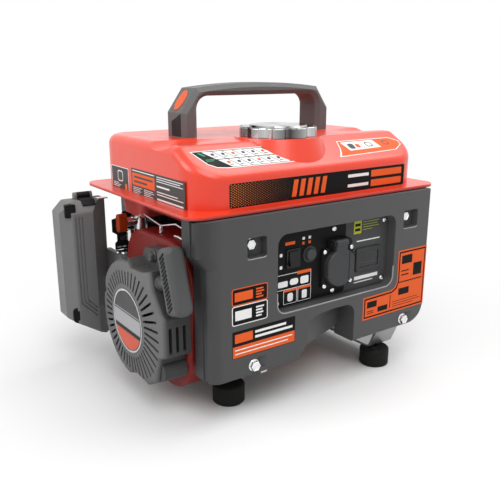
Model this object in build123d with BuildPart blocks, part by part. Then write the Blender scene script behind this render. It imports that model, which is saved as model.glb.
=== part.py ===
from build123d import *
import os
from math import atan2, cos, pi, radians, sin, tan

# Portable generator, millimetres. +X runs along the front cover to the right, +Y to the rear, +Z up.
# The origin is on the floor under the middle of the overall box.
os.makedirs("parts", exist_ok=True)

# Clearances
slip = 0.3
fit = 0.05
screw_room = 0.4

# Rubber feet and steel rails
foot_diameter = 36
foot_height = 22
foot_round = 3
foot_chamfer = 1.5
foot_screw = 3
left_foot_x = -83
left_foot_y = 88
right_foot_x = 120.6
right_foot_y = 113
left_rail_x = -83
left_rail_width = 28
right_rail_x = 129
right_rail_width = 38
rail_sheet = 3
rail_bend = 6
rail_tab_rise = 10
rail_knee_drop = 14

# Fuel tank
tank_mid_x = 23
tank_length = 314
tank_depth = 232
tank_corner = 36
tank_wall = 1.5
tank_top = 284
tank_edge = 11
flange_side = 16.5
flange_front = 14.5
flange_corner = 18
flange_sheet = 1.6
seam_z = 222.6
slope_drop = 26
slope_run = 46
trough_y = -34
trough_radius = 50
trough_sink = 9
trough_tilt = 6
trough_length = 120
pan_depth = 21
pan_draw = 20
sump_x = -88
sump_y = 58
sump_length = 76
sump_depth = 62
sump_drop = 31
sump_corner = 14
sump_draft = 8

# Filler and cap
cap_x = 10
cap_y = -52
cap_diameter = 88
cap_height = 10.5
cap_lobes = 10
scallop_radius = 11
scallop_offset = 6.8
cap_lobe_round = 3
cap_edge = 1.5
cap_crown = 1.6
cap_crown_taper = 35
boss_radius = 49
boss_rise = 1.8
boss_taper = 20
neck_bore = 50
neck_wall = 1.6
neck_lip = 4
seal_height = 2

# Carrying handle
handle_mid_x = 22
handle_width = 214
handle_front_y = -5
handle_depth = 40
handle_leg_height = 27
handle_shoulder_rise = 26.5
handle_crown_rise = 5.5
handle_bar = 14
handle_shoulder = 19
handle_leg = 20
handle_inner_radius = 15
handle_edge = 5
insert_length = 27
insert_width = 17
insert_thickness = 2
insert_seat = 1.4

# Front and rear covers
cover_face_y = 136.5
cover_back_y = 104.5
cover_wall = 2.5
cover_top = 219.8
cover_right_x = 180
cover_left_x = -134
cover_shoulder_x = -146
cover_shoulder_z = 184
cover_shoulder_drop = 14
cover_low_z = 51.5
cover_corner = 25
cover_edge = 4
cover_left_round = 12
rear_left_x = -104
rear_left_round = 8
channel_y = -124
channel_width = 8
channel_depth = 1.2
notch_left_x = -11
notch_right_x = 59
notch_z = 66
notch_slope = 13
scoop_top = 100
scoop_depth = 26
upper_bolt_z = 190.3
lower_bolt_z = 62
left_bolt_x = -83.5
right_bolt_x = 140.5
bolt_shank = 6
bolt_flange = 13
bolt_head = 10
pocket_width = 24
pocket_height = 22
pocket_depth = 9
pocket_corner = 3
pocket_taper = 4
pocket_shift_x = 4.5
pocket_shift_z = -3
ramp_width = 11
ramp_height = 12
ramp_depth = 4
ramp_lap = 1
ramp_lift = 1
bolt_sheet = 1.6
bolt_crown = 4
vent_length = 96
vent_height = 6
vent_pitch = 12
vent_rows = 6
tank_rail_width = 20
tank_rail_z = 177.5
tank_tab_rise = 9
mount_y = 62

# Control recess
recess_left = -53
recess_right = 120
recess_low = 109.5
recess_high = 196
recess_corner = 12
recess_depth = 14
recess_draft = 1.2
recess_taper = 3
plate_sheet = 2
plate_gap = 0.4
rim_width = 11
plate_screw_inset = 7.5
plate_screw_head = 6.4
socket_screw_head = 5.6
plate_screw_shank = 3.5
switch_x = -24
switch_z = 164.5
switch_width = 18.5
switch_height = 21
switch_lap = 1.5
switch_border = 3
switch_corner = 2
rocker_swing = 10
rocker_pin = 1.2
rocker_axis_rise = 0.5
rocker_well = 6.5
rocker_heel = 2.5
rocker_keel = 3.5
rocker_dip = 1.2
trunnion_length = 0.8
breaker_x = -1.5
breaker_z = 165.5
breaker_diameter = 18.5
breaker_lap = 1.5
button_diameter = 13
button_travel = 3
button_edge = 1.5
socket_x = 38.6
socket_z = 144.8
socket_flange = 46
socket_well = 39
socket_wall = 2
socket_corner = 5
socket_depth = 32
socket_screw_pitch = 39.5
lid_radius = 21.5
lid_thickness = 7
lid_hinge_z = 173.5
lid_pin = 3
lid_flat = 1.5
lid_edge = 1.2
knuckle_radius = 3.8
knuckle_gap = 0.5
knuckle_half = 8.5
ear_width = 4.6
ear_rise = 4
meter_x = 87.6
meter_z = 145.7
meter_width = 40
meter_height = 28
meter_bezel = 3
meter_depth = 20
meter_lap = 2.5
meter_corner = 3
meter_edge = 0.8
window_border = 5
window_sink = 0.8
bezel_height = 1.6
switch_depth = 20
rocker_thickness = 3.6
breaker_depth = 22
button_well = 9
button_proud = 4
socket_sheet = 3
well_depth = 18
contact_pitch = 19
contact_radius = 3.2
contact_bore = 2.4
contact_length = 10
lid_groove = 1
screw_head_height = 1.8
screw_head_taper = 20
screw_tip = 1

# Crank line and recoil starter
crank_y = -17
crank_z = 91.5
shaft_radius = 9
recoil_face_x = -168.5
recoil_back_x = -138
recoil_wall = 2.5
recoil_edge = 4
recoil_front_y = -103

# Recoil cover outline, as distances forward of the crank line and above or below it
recoil_radius = 65
recoil_upper_radius = 68
recoil_cavity_radius = 56.5
lower_arc_start = -87
lower_arc_sweep = 109
upper_arc_start = 30
upper_arc_sweep = 63
lug_plate_left = 14
lug_plate_low = 84
lug_plate_right = 50
lug_plate_high = 89
shoulder_y = 59
shoulder_z = 72
waist_y = 64
waist_z = 50
shelf_y = 79
shelf_z = 32
front_wall_high = 28
front_wall_low = 14
step_y = 74
step_z = 19
heel_y = 66
heel_z = 48
keel_y = 43
keel_z = 60.5
toe_y = 15
toe_z = 58
hollow_left = 6
hollow_knee_y = 14
hollow_low = 64
hollow_far_y = 42
hollow_far_z = 66
exit_boss = 8
exit_start = 44

# Recoil cover slots, badge, rope, pulley and grip
slot_count = 44
slot_width = 2.9
slot_inner = 41
slot_outer = 57
slot_stretch = 17
side_slots = 3
side_slot_pitch = 8
side_slot_length = 28
side_slot_width = 3.5
side_slot_depth = 8
badge_radius = 36
badge_thickness = 1.2
badge_seat = 0.8
badge_rim = 1.8
badge_dish = 0.3
rope_radius = 2
rope_room = 1
rope_rise = 17
rope_x = -157
rope_pitch_radius = 38
pulley_radius = 46
pulley_width = 13
pulley_holes = 6
pulley_hole_radius = 6
post_radius = 6
grip_run = 107.5
grip_width = 20
grip_depth = 25
grip_length = 69
grip_corner = 8
grip_edge = 5
neck_radius = 4.6
neck_length = 24
lug_radius = 11
lug_depth = 12
top_lug = (-34, 79)
low_lug = (-67, -35.5)
rear_lug = (62, 22)

# Blower, engine and alternator
blower_back_x = -98
blower_wall = 2
blower_edge = 6
blower_radius = 72
blower_low_y = -34
blower_low_z = -26
blower_low_radius = 46
blower_front_y = -40
blower_front_z = 50
blower_front_radius = 46
blower_rear_y = 25
blower_rear_z = 55
blower_rear_radius = 38
flywheel_radius = 54
fan_blades = 16
blade_height = 12
blade_sheet = 2.4
blade_lean = 28
blade_room = 8
hub_left_x = -124
hub_right_x = -99
hub_radius = 16
disc_left_x = -110
disc_right_x = -102
cup_radius = 30
cup_depth = 20
cup_sheet = 2
cup_windows = 3
nut_width = 26
nut_height = 8
shaft_left_x = -136
case_left_x = -90
case_right_x = -8
case_front_y = -80
case_rear_y = 23
case_top_z = 138
case_round = 8
case_rear_drop = 12
case_rear_run = 24
case_front_run = 26
case_front_drop = 46
spigot_radius = 56
spigot_seat = 5
bearing_radius = 17.5
bearing_width = 11
bearing_step = 1
end_bearing_x = 114
drain_x = -40
drain_z = 31
drain_radius = 8
drain_boss = 6
drain_hex = 13
drain_washer = 2
drain_head = 8
dipstick_x = -28
dipstick_z = 58
dipstick_radius = 12
dipstick_height = 10
dipstick_plug = 7
dipstick_depth = 14
dipstick_flutes = 8
flute_radius = 3
cylinder_lean = 75
barrel_start = 52
barrel_end = 92
head_end = 114
valve_cover_end = 130
barrel_radius = 30
fin_count = 6
fin_sheet = 2.6
fin_span = 76
head_fins = 3
head_groove = 3
head_groove_depth = 9
valve_cover_width = 58
valve_cover_height = 50
valve_cover_rim = 5
valve_cover_sheet = 3
plug_y = 76
plug_z = 141
plug_hex = 16
plug_hex_height = 8
plug_stem = 5
plug_length = 20
plug_cap_radius = 8.5
plug_cap_length = 19
coil_left_x = -114
coil_width = 12
coil_height = 18
coil_arm = 9
coil_sheet = 3
coil_gap = 1
alternator_radius = 60
alternator_wall = 4
alternator_edge = 6
stator_inner = 44
stator_outer = 56
stator_slots = 24
stator_slot_depth = 5
stator_slot_width = 2.5
stator_start_x = 10
stator_end_x = 84
winding_length = 9
winding_inset = 2
winding_depth = 6
rotor_step = 2
rotor_flat = 14
rotor_flat_depth = 15
air_gap = 0.6
alternator_end_x = 134
vent_slots = 12
vent_slot_length = 26
vent_slot_width = 5
alternator_foot_width = 22
alternator_foot_depth = 60

# Intake, exhaust and air filter
exhaust_y = 86
exhaust_z = 112
exhaust_radius = 11
muffler_left_x = 30
muffler_right_x = 128
muffler_y = 86
muffler_z = 132
muffler_width = 46
muffler_height = 66
muffler_corner = 16
muffler_edge = 5
tailpipe_radius = 9
tailpipe_wall = 1.5
tailpipe_length = 14
tailpipe_inset = 22
guard_gap = 7
guard_sheet = 1.5
guard_width = 90
guard_height = 60
guard_corner = 8
guard_post = 2.5
guard_post_x = 36
guard_post_z = 20
guard_columns = 4
guard_rows = 3
guard_slot_length = 14
guard_slot_width = 4
carb_y = 86
carb_z = 120
carb_length = 30
carb_radius = 15
carb_flange_width = 44
carb_flange_height = 30
carb_flange_sheet = 4
carb_top = 4
carb_top_radius = 7
inlet_length = 3
spacer_length = 10
bowl_radius = 14
bowl_drop = 30
bowl_round = 3
choke_pin = 2
choke_pin_length = 8
choke_reach = 18
choke_width = 6
choke_tip = 4.5
choke_sheet = 2
filter_left_x = -196.5
filter_right_x = -133.5
filter_face_y = 88.5
filter_split_y = 112
filter_back_y = 124
filter_top_z = 206
filter_low_left_z = 63
filter_low_right_z = 31
filter_low_flat = 13
filter_wall = 2.5
filter_chamfer = 12
filter_corner = 4
filter_edge = 1.2
filter_bevel = 25.5
filter_side_bevel = 12
wedge_room = 1
duct_front_y = 68
duct_height = 36
duct_corner = 6
groove_count = 3
groove_inset = 16
groove_pitch = 3.8
groove_top = 17
groove_knee_z = 82
groove_step = 1.6
groove_slope = 1.05
groove_end_x = -161
groove_width = 1.8
groove_depth = 1.5
groove_bend = 6
clip_axis_y = 116
clip_radius = 4
clip_pin = 1.5
clip_width = 16
clip_sheet = 1.5
clip_lip = 6
clip_inset = 27
ear_sheet = 3

# Fuel valve and hose
valve_x = -112
valve_radius = 8
valve_height = 18
valve_nut = 20
valve_nut_height = 4
valve_boss = 5.5
lever_x = -131
lever_z = 183
lever_pin = 2.5
lever_pin_length = 7
lever_length = 22
lever_width = 9
lever_thickness = 11
lever_edge = 1.5
hose_radius = 3.5
hose_bend = 8

handle_shoulder_z = tank_top + handle_leg_height
handle_crown_z = handle_shoulder_z + handle_shoulder_rise
handle_top = handle_crown_z + handle_crown_rise
handle_opening_top = handle_top - handle_bar
slope_low_z = tank_top - slope_drop
slope_angle = atan2(slope_drop, slope_run)
rail_top = foot_height + rail_sheet
tab_y = cover_face_y - pocket_depth - cover_wall
plate_face_y = cover_face_y - recess_depth + plate_sheet
rope_dir = Vector(0, -cos(radians(rope_rise)), sin(radians(rope_rise)))
bar_dir = Vector(0, sin(radians(rope_rise)), cos(radians(rope_rise)))
rope_start = Vector(rope_x, crank_y, crank_z) + bar_dir * rope_pitch_radius
cylinder_dir = Vector(0, sin(radians(cylinder_lean)), cos(radians(cylinder_lean)))
case_mid_x = (case_left_x + case_right_x) / 2
coil_low = flywheel_radius + coil_gap
coil_top = coil_low + coil_height


def crank_plane(x):
    """Plane across the crank line at x, with its origin on the crank axis."""
    return Plane(origin=(x, crank_y, crank_z), x_dir=(0, 1, 0), z_dir=(1, 0, 0))


def front_plane(y):
    """Plane parallel to the front cover at y, facing the front, with local axes X and Z."""
    return Plane(origin=(0, y, 0), x_dir=(1, 0, 0), z_dir=(0, -1, 0))


def rear_plane(y):
    """Plane parallel to the rear cover at y, facing the rear, with local axes -X and Z."""
    return Plane(origin=(0, y, 0), x_dir=(-1, 0, 0), z_dir=(0, 1, 0))


def bore_plane(distance):
    """Plane across the leaning cylinder at a distance from the crank axis."""
    start = Vector(case_mid_x, crank_y, crank_z)
    return Plane(origin=start + cylinder_dir * distance, x_dir=(1, 0, 0), z_dir=cylinder_dir)


# Rubber feet
foot_spots = [
    (left_foot_x, -left_foot_y),
    (left_foot_x, left_foot_y),
    (right_foot_x, -right_foot_y),
    (right_foot_x, right_foot_y),
]
with BuildPart() as rubber_feet:
    with BuildSketch():
        with Locations(*foot_spots):
            Circle(foot_diameter / 2)
    extrude(amount=foot_height)
    fillet(rubber_feet.edges().group_by(Axis.Z)[-1], foot_round)
    chamfer(rubber_feet.edges().group_by(Axis.Z)[0], foot_chamfer)
    with BuildSketch(Plane.XY.offset(foot_height)):
        with Locations(*foot_spots):
            Circle(foot_screw + slip)
    extrude(amount=-foot_height / 2, mode=Mode.SUBTRACT)
rubber_feet.part.label = "rubber_feet"
export_step(rubber_feet.part, "parts/rubber_feet.step")


def foot_rail(x, width, foot_x, foot_y, bolt_x):
    """Bent steel strip across the base, from the front cover's lower bolt to the rear cover's."""
    middle = foot_height + rail_sheet / 2
    with BuildPart() as rail:
        with BuildSketch(Plane.YZ.offset(x - width / 2)):
            with BuildLine() as path:
                FilletPolyline(
                    (-tab_y + rail_sheet / 2, lower_bolt_z + rail_tab_rise),
                    (-tab_y + rail_sheet / 2, lower_bolt_z - rail_knee_drop),
                    (-foot_y, middle),
                    (foot_y, middle),
                    (tab_y - rail_sheet / 2, lower_bolt_z - rail_knee_drop),
                    (tab_y - rail_sheet / 2, lower_bolt_z + rail_tab_rise),
                    radius=rail_bend,
                )
            trace(path.line, line_width=rail_sheet)
        extrude(amount=width)
        with BuildSketch(front_plane(-cover_face_y)):
            with Locations((bolt_x, lower_bolt_z)):
                Circle(bolt_shank / 2 + screw_room)
        extrude(amount=-2 * cover_face_y, mode=Mode.SUBTRACT)
        with BuildSketch():
            with Locations((foot_x, -foot_y), (foot_x, foot_y)):
                Circle(foot_screw + slip)
        extrude(amount=2 * rail_top, mode=Mode.SUBTRACT)
    return rail.part


with BuildPart() as foot_rails:
    add(foot_rail(left_rail_x, left_rail_width, left_foot_x, left_foot_y, left_bolt_x))
    add(foot_rail(right_rail_x, right_rail_width, right_foot_x, right_foot_y, right_bolt_x))
foot_rails.part.label = "foot_rails"
export_step(foot_rails.part, "parts/foot_rails.step")


def tank_block(inset, base):
    """Outer form of the upper shell, drawn in by inset: sloped front, rounded edges, two side troughs."""
    slope = Plane(
        origin=(tank_mid_x, -tank_depth / 2, slope_low_z),
        x_dir=(1, 0, 0),
        z_dir=(0, -sin(slope_angle), cos(slope_angle)),
    )
    with BuildPart() as block:
        with BuildSketch(Plane.XY.offset(base)):
            with Locations((tank_mid_x, 0)):
                RectangleRounded(tank_length - 2 * inset, tank_depth - 2 * inset, tank_corner - inset)
        extrude(amount=tank_top - inset - base)
        split(bisect_by=slope.offset(-inset), keep=Keep.BOTTOM)
        upper_edges = block.edges().filter_by(lambda edge: edge.bounding_box().min.Z > base + flange_front)
        fillet(upper_edges, tank_edge - inset)
        for side in (-1, 1):
            start = (
                tank_mid_x + side * (tank_length / 2 + flange_side),
                trough_y,
                tank_top - trough_sink + trough_radius,
            )
            run = (-side * cos(radians(trough_tilt)), 0, sin(radians(trough_tilt)))
            with BuildSketch(Plane(origin=start, x_dir=(0, 1, 0), z_dir=run)):
                Circle(trough_radius + inset)
            extrude(amount=trough_length, mode=Mode.SUBTRACT)
    return block.part


def filler_boss(inset):
    """Round raised seat under the cap, growing out of the sloped front."""
    with BuildPart() as boss:
        with BuildSketch(Plane.XY.offset(tank_top + boss_rise - inset)):
            with Locations((cap_x, cap_y)):
                Circle(boss_radius - inset)
        extrude(amount=-boss_radius / 2, taper=-boss_taper)
    return boss.part


# Upper tank shell with its half of the seam flange and the welded filler neck
flange_length = tank_length + 2 * flange_side
flange_depth = tank_depth + 2 * flange_front
boss_top = tank_top + boss_rise
neck_top = boss_top + neck_lip
with BuildPart() as tank_upper:
    add(tank_block(0, seam_z + flange_sheet))
    add(filler_boss(0))
    with BuildSketch(Plane.XY.offset(seam_z)):
        with Locations((tank_mid_x, 0)):
            RectangleRounded(flange_length, flange_depth, flange_corner)
    extrude(amount=flange_sheet)
    add(tank_block(tank_wall, seam_z), mode=Mode.SUBTRACT)
    add(filler_boss(tank_wall), mode=Mode.SUBTRACT)
    with BuildSketch(Plane.XY.offset(boss_top)):
        with Locations((cap_x, cap_y)):
            Circle(neck_bore / 2 + neck_wall)
    extrude(amount=-2 * tank_edge, mode=Mode.SUBTRACT)
    with BuildSketch(Plane.XY.offset(neck_top)):
        with Locations((cap_x, cap_y)):
            Circle(neck_bore / 2 + neck_wall)
            Circle(neck_bore / 2, mode=Mode.SUBTRACT)
    extrude(amount=-3 * neck_lip)
    with BuildSketch(Plane.XY.offset(boss_top)):
        with Locations((cap_x, cap_y)):
            Circle(neck_bore / 2 + neck_lip)
            Circle(neck_bore / 2, mode=Mode.SUBTRACT)
    extrude(amount=neck_wall)
tank_upper.part.label = "tank_upper_shell"
export_step(tank_upper.part, "parts/tank_upper_shell.step")


def pan_block(inset):
    """Shallow drawn pan with a deeper sump at its left rear, drawn in by inset."""
    with BuildPart() as pan:
        with BuildSketch(Plane.XY.offset(seam_z)):
            with Locations((tank_mid_x, 0)):
                RectangleRounded(tank_length - 2 * inset, tank_depth - 2 * inset, tank_corner - inset)
        with BuildSketch(Plane.XY.offset(seam_z - pan_depth + inset)):
            with Locations((tank_mid_x, 0)):
                RectangleRounded(
                    tank_length - 2 * pan_draw - 2 * inset,
                    tank_depth - 2 * pan_draw - 2 * inset,
                    tank_corner - inset,
                )
        loft(ruled=True)
        with BuildSketch(Plane.XY.offset(seam_z - inset)):
            with Locations((sump_x, sump_y)):
                RectangleRounded(sump_length - 2 * inset, sump_depth - 2 * inset, sump_corner - inset)
        extrude(amount=inset - sump_drop + inset, taper=sump_draft)
    return pan.part


# Lower tank pan with the other half of the flange
with BuildPart() as tank_lower:
    with BuildSketch(Plane.XY.offset(seam_z - flange_sheet)):
        with Locations((tank_mid_x, 0)):
            RectangleRounded(flange_length, flange_depth, flange_corner)
    extrude(amount=flange_sheet)
    add(pan_block(0))
    add(pan_block(tank_wall), mode=Mode.SUBTRACT)
tank_lower.part.label = "tank_lower_pan"
export_step(tank_lower.part, "parts/tank_lower_pan.step")

# Cap seal: rubber ring inside the cap, resting on the neck
with BuildPart() as cap_seal:
    with BuildSketch(Plane.XY.offset(neck_top)):
        with Locations((cap_x, cap_y)):
            Circle(neck_bore / 2 + neck_lip)
            Circle(neck_bore / 2 - neck_lip, mode=Mode.SUBTRACT)
    extrude(amount=seal_height)
cap_seal.part.label = "cap_seal"
export_step(cap_seal.part, "parts/cap_seal.step")

# Fuel cap: scalloped chrome dish over the neck
cap_bottom = boss_top + slip
cap_roof = neck_top + seal_height
cap_plane = Plane(origin=(cap_x, cap_y, cap_bottom))
with BuildPart() as fuel_cap:
    with BuildSketch(cap_plane):
        Circle(cap_diameter / 2)
        with PolarLocations(cap_diameter / 2 + scallop_offset, cap_lobes):
            Circle(scallop_radius, mode=Mode.SUBTRACT)
        fillet(vertices(), cap_lobe_round)
    extrude(amount=cap_height)
    fillet(fuel_cap.edges().group_by(Axis.Z)[-1], cap_edge)
    with BuildSketch(cap_plane.offset(cap_height)):
        Circle(cap_diameter / 2 - scallop_radius)
    extrude(amount=cap_crown, taper=cap_crown_taper)
    with BuildSketch(cap_plane):
        Circle(neck_bore / 2 + neck_lip + 2 * slip)
    extrude(amount=cap_roof - cap_bottom, mode=Mode.SUBTRACT)
fuel_cap.part.label = "fuel_cap"
export_step(fuel_cap.part, "parts/fuel_cap.step")

# Carrying handle: arched bar on two legs, seated on the tank
handle_half = handle_width / 2
handle_plane = Plane(origin=(handle_mid_x, handle_front_y, 0), x_dir=(1, 0, 0), z_dir=(0, -1, 0))
inner_half = handle_half - handle_leg
with BuildPart() as carry_handle:
    with BuildSketch(handle_plane):
        with BuildLine():
            Polyline(
                (-handle_half + handle_shoulder, handle_crown_z),
                (-handle_half, handle_shoulder_z),
                (-handle_half, tank_top),
                (handle_half, tank_top),
                (handle_half, handle_shoulder_z),
                (handle_half - handle_shoulder, handle_crown_z),
            )
            ThreePointArc(
                (handle_half - handle_shoulder, handle_crown_z),
                (0, handle_top),
                (-handle_half + handle_shoulder, handle_crown_z),
            )
        make_face()
        with BuildLine():
            FilletPolyline(
                (-inner_half, tank_top - handle_edge),
                (-inner_half, handle_opening_top),
                (inner_half, handle_opening_top),
                (inner_half, tank_top - handle_edge),
                radius=handle_inner_radius,
            )
            Line((inner_half, tank_top - handle_edge), (-inner_half, tank_top - handle_edge))
        make_face(mode=Mode.SUBTRACT)
    extrude(amount=-handle_depth)
    rim = carry_handle.edges().filter_by(
        lambda edge: edge.bounding_box().size.Y < fit and edge.bounding_box().max.Z > tank_top + slip
    )
    chamfer(rim, handle_edge)


def insert_plane(side):
    """Plane on a sloped handle shoulder, with its normal pointing out of the shoulder."""
    rise = handle_crown_z - handle_shoulder_z
    run = Vector(-side * handle_shoulder, 0, rise).normalized()
    middle = (
        handle_mid_x + side * (handle_half - handle_shoulder / 2),
        handle_front_y + handle_depth / 2,
        handle_shoulder_z + rise / 2,
    )
    normal = Vector(side * rise, 0, handle_shoulder).normalized()
    return Plane(origin=middle, x_dir=run, z_dir=normal)


with BuildPart(mode=Mode.PRIVATE) as insert_pockets:
    for side in (-1, 1):
        with BuildSketch(insert_plane(side).offset(-insert_seat)):
            Ellipse(insert_length / 2, insert_width / 2)
        extrude(amount=2 * insert_seat)
with BuildPart() as handle_body:
    add(carry_handle.part)
    add(insert_pockets.part, mode=Mode.SUBTRACT)
handle_body.part.label = "carry_handle"
export_step(handle_body.part, "parts/carry_handle.step")

# Orange oval inserts in the handle's shoulders
with BuildPart() as handle_inserts:
    for side in (-1, 1):
        with BuildSketch(insert_plane(side).offset(-insert_seat)):
            Ellipse(insert_length / 2 - slip, insert_width / 2 - slip)
        extrude(amount=insert_thickness)
handle_inserts.part.label = "handle_inserts"
export_step(handle_inserts.part, "parts/handle_inserts.step")

# Where the covers bolt on: upper pair in square pockets, lower pair flush on the face
upper_bolts = [(left_bolt_x, upper_bolt_z), (right_bolt_x, upper_bolt_z)]
lower_bolts = [(left_bolt_x, lower_bolt_z), (right_bolt_x, lower_bolt_z)]
pocket_spots = [(x + pocket_shift_x, z + pocket_shift_z) for x, z in upper_bolts]
ramp_spots = [(x + bolt_flange / 2 + ramp_width / 2 - ramp_lap, z + ramp_lift) for x, z in lower_bolts]
tub_depth = pocket_depth + cover_wall
front_points = [
    (cover_shoulder_x, cover_top),
    (cover_shoulder_x, cover_shoulder_z),
    (cover_left_x, cover_shoulder_z - cover_shoulder_drop),
    (cover_left_x, cover_low_z),
    (notch_left_x - notch_slope, cover_low_z),
    (notch_left_x, notch_z),
    (notch_right_x, notch_z),
    (notch_right_x, cover_low_z),
    (cover_right_x, cover_low_z),
    (cover_right_x, cover_top),
]
rear_points = [
    (rear_left_x, cover_top),
    (rear_left_x, cover_low_z),
    (cover_right_x, cover_low_z),
    (cover_right_x, cover_top),
]


def cover_block(points, inset, side):
    """Solid form of a cover, drawn in by inset; side is -1 for the front and 1 for the rear."""
    face = side * (cover_face_y - inset)
    left_round = cover_left_round if side < 0 else rear_left_round
    with BuildPart() as block:
        with BuildSketch(front_plane(side * cover_back_y)) as outline:
            with BuildLine():
                Polyline(*points, close=True)
            make_face()
            corners = outline.vertices()
            fillet(corners.sort_by_distance((cover_right_x, cover_low_z, 0))[0], cover_corner)
            fillet(corners.sort_by_distance((points[0][0], cover_low_z, 0))[0], left_round)
            if inset > 0:
                offset(amount=-inset, kind=Kind.INTERSECTION)
        extrude(amount=-side * (cover_face_y - inset - cover_back_y))
        front_edges = block.edges().filter_by_position(Axis.Y, face - fit, face + fit)
        left_limit = (cover_left_x if side < 0 else rear_left_x) + left_round
        left_edges = front_edges.filter_by(lambda edge: edge.bounding_box().max.X < left_limit)
        fillet(left_edges, left_round - inset)
        right_limit = cover_right_x - cover_corner - slip
        front_edges = block.edges().filter_by_position(Axis.Y, face - fit, face + fit)
        right_edges = front_edges.filter_by(lambda edge: edge.bounding_box().min.X > right_limit)
        fillet(right_edges, cover_edge - inset)
    return block.part


def side_channel():
    """Shallow upright channel that follows the front cover's left wall."""
    with BuildPart() as channel:
        with BuildSketch(Plane.XY.offset(cover_low_z - channel_depth)):
            with Locations((cover_left_x, channel_y)):
                Rectangle(2 * (cover_left_x - cover_shoulder_x + channel_depth), channel_width)
        extrude(amount=cover_top - cover_low_z + 2 * channel_depth)
        add(cover_block(front_points, channel_depth, -1), mode=Mode.SUBTRACT)
    return channel.part


def cover_relief(side):
    """Room in a cover's top and bottom walls for the tank pan and the two foot rails."""
    middle = (cover_face_y + cover_back_y) / 2
    with BuildPart() as relief:
        with BuildSketch(Plane.XY.offset(cover_low_z - slip)):
            with Locations((left_rail_x, side * (middle - cover_wall))):
                Rectangle(left_rail_width + cover_wall, cover_face_y - cover_back_y - cover_wall)
            with Locations((right_rail_x, side * (middle - cover_wall))):
                Rectangle(right_rail_width + cover_wall, cover_face_y - cover_back_y - cover_wall)
        extrude(amount=2 * cover_wall)
        with BuildSketch(Plane.XY.offset(cover_top + slip)):
            with Locations((tank_mid_x, side * cover_back_y)):
                Rectangle(tank_length - 4 * cover_wall, tank_depth - 2 * cover_back_y)
        extrude(amount=-2 * cover_wall)
    return relief.part


def scoop_block(grow):
    """Wedge under the control recess that deepens to the right, for a hand to reach in."""
    right = notch_right_x + grow
    with BuildPart() as scoop:
        with BuildSketch(Plane.XY.offset(notch_z - cover_wall + grow)):
            with BuildLine():
                Polyline(
                    (notch_left_x - 3 * grow, -cover_face_y),
                    (right, -cover_face_y),
                    (right, -cover_face_y + scoop_depth + grow),
                    close=True,
                )
            make_face()
        extrude(amount=scoop_top - notch_z + cover_wall)
        ceiling = scoop.faces().sort_by(Axis.Z)[-1].edges().filter_by(
            lambda edge: edge.bounding_box().max.Y > -cover_face_y + slip
        )
        fillet(ceiling, scoop_depth / 2)
    return scoop.part


def recess_sketch(grow):
    """Rounded rectangle of the control recess, widened by grow."""
    with BuildSketch(mode=Mode.PRIVATE) as opening:
        with Locations(((recess_left + recess_right) / 2, (recess_low + recess_high) / 2)):
            RectangleRounded(
                recess_right - recess_left + 2 * grow,
                recess_high - recess_low + 2 * grow,
                recess_corner + grow,
            )
    return opening.sketch


screw_left = recess_left + plate_screw_inset
screw_right = recess_right - plate_screw_inset
screw_low = recess_low + plate_screw_inset
screw_high = recess_high - plate_screw_inset
screw_middle = (screw_left + screw_right) / 2
plate_screw_spots = [
    (x, z) for x in (screw_left, screw_middle, screw_right) for z in (screw_low, screw_high)
]

# Front cover: moulded shell with control recess, bolt pockets, hand scoop and side channels
face_plane = front_plane(-cover_face_y)
with BuildPart() as front_cover:
    add(cover_block(front_points, 0, -1))
    add(cover_block(front_points, cover_wall, -1), mode=Mode.SUBTRACT)
    add(cover_relief(-1), mode=Mode.SUBTRACT)
    add(side_channel(), mode=Mode.SUBTRACT)
    with BuildSketch(face_plane):
        add(recess_sketch(cover_wall))
    extrude(amount=-recess_depth - cover_wall)
    with BuildSketch(face_plane):
        with Locations(*pocket_spots):
            Rectangle(pocket_width + 2 * cover_wall, pocket_height + 2 * cover_wall)
    extrude(amount=-tub_depth)
    with BuildSketch(face_plane.offset(-cover_wall)):
        with Locations(*lower_bolts):
            Circle(bolt_flange / 2 + cover_wall)
        with Locations(*ramp_spots):
            Rectangle(ramp_width + cover_wall, ramp_height + 2 * cover_wall)
    extrude(amount=cover_wall - tub_depth)
    add(scoop_block(cover_wall))
    add(scoop_block(0), mode=Mode.SUBTRACT)
    with BuildSketch(face_plane):
        add(recess_sketch(0))
    extrude(amount=-recess_depth, taper=recess_taper, mode=Mode.SUBTRACT)
    with BuildSketch(face_plane):
        add(recess_sketch(-rim_width))
    extrude(amount=-recess_depth - 2 * cover_wall, mode=Mode.SUBTRACT)
    with BuildSketch(face_plane):
        with Locations(*pocket_spots):
            RectangleRounded(pocket_width, pocket_height, pocket_corner)
    extrude(amount=-pocket_depth, taper=pocket_taper, mode=Mode.SUBTRACT)
    for x, z in ramp_spots:
        with BuildSketch(Plane.XY.offset(z - ramp_height / 2)):
            with BuildLine():
                Polyline(
                    (x - ramp_width / 2, -cover_face_y + ramp_depth),
                    (x - ramp_width / 2, -cover_face_y),
                    (x + ramp_width / 2, -cover_face_y),
                    close=True,
                )
            make_face()
        extrude(amount=ramp_height, mode=Mode.SUBTRACT)
    with BuildSketch(face_plane):
        with Locations(*upper_bolts, *lower_bolts):
            Circle(bolt_shank / 2 + screw_room)
        with Locations(*plate_screw_spots):
            Circle(plate_screw_shank / 2 + screw_room)
    extrude(amount=-2 * tub_depth, mode=Mode.SUBTRACT)
front_cover.part.label = "front_cover"
export_step(front_cover.part, "parts/front_cover.step")

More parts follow.
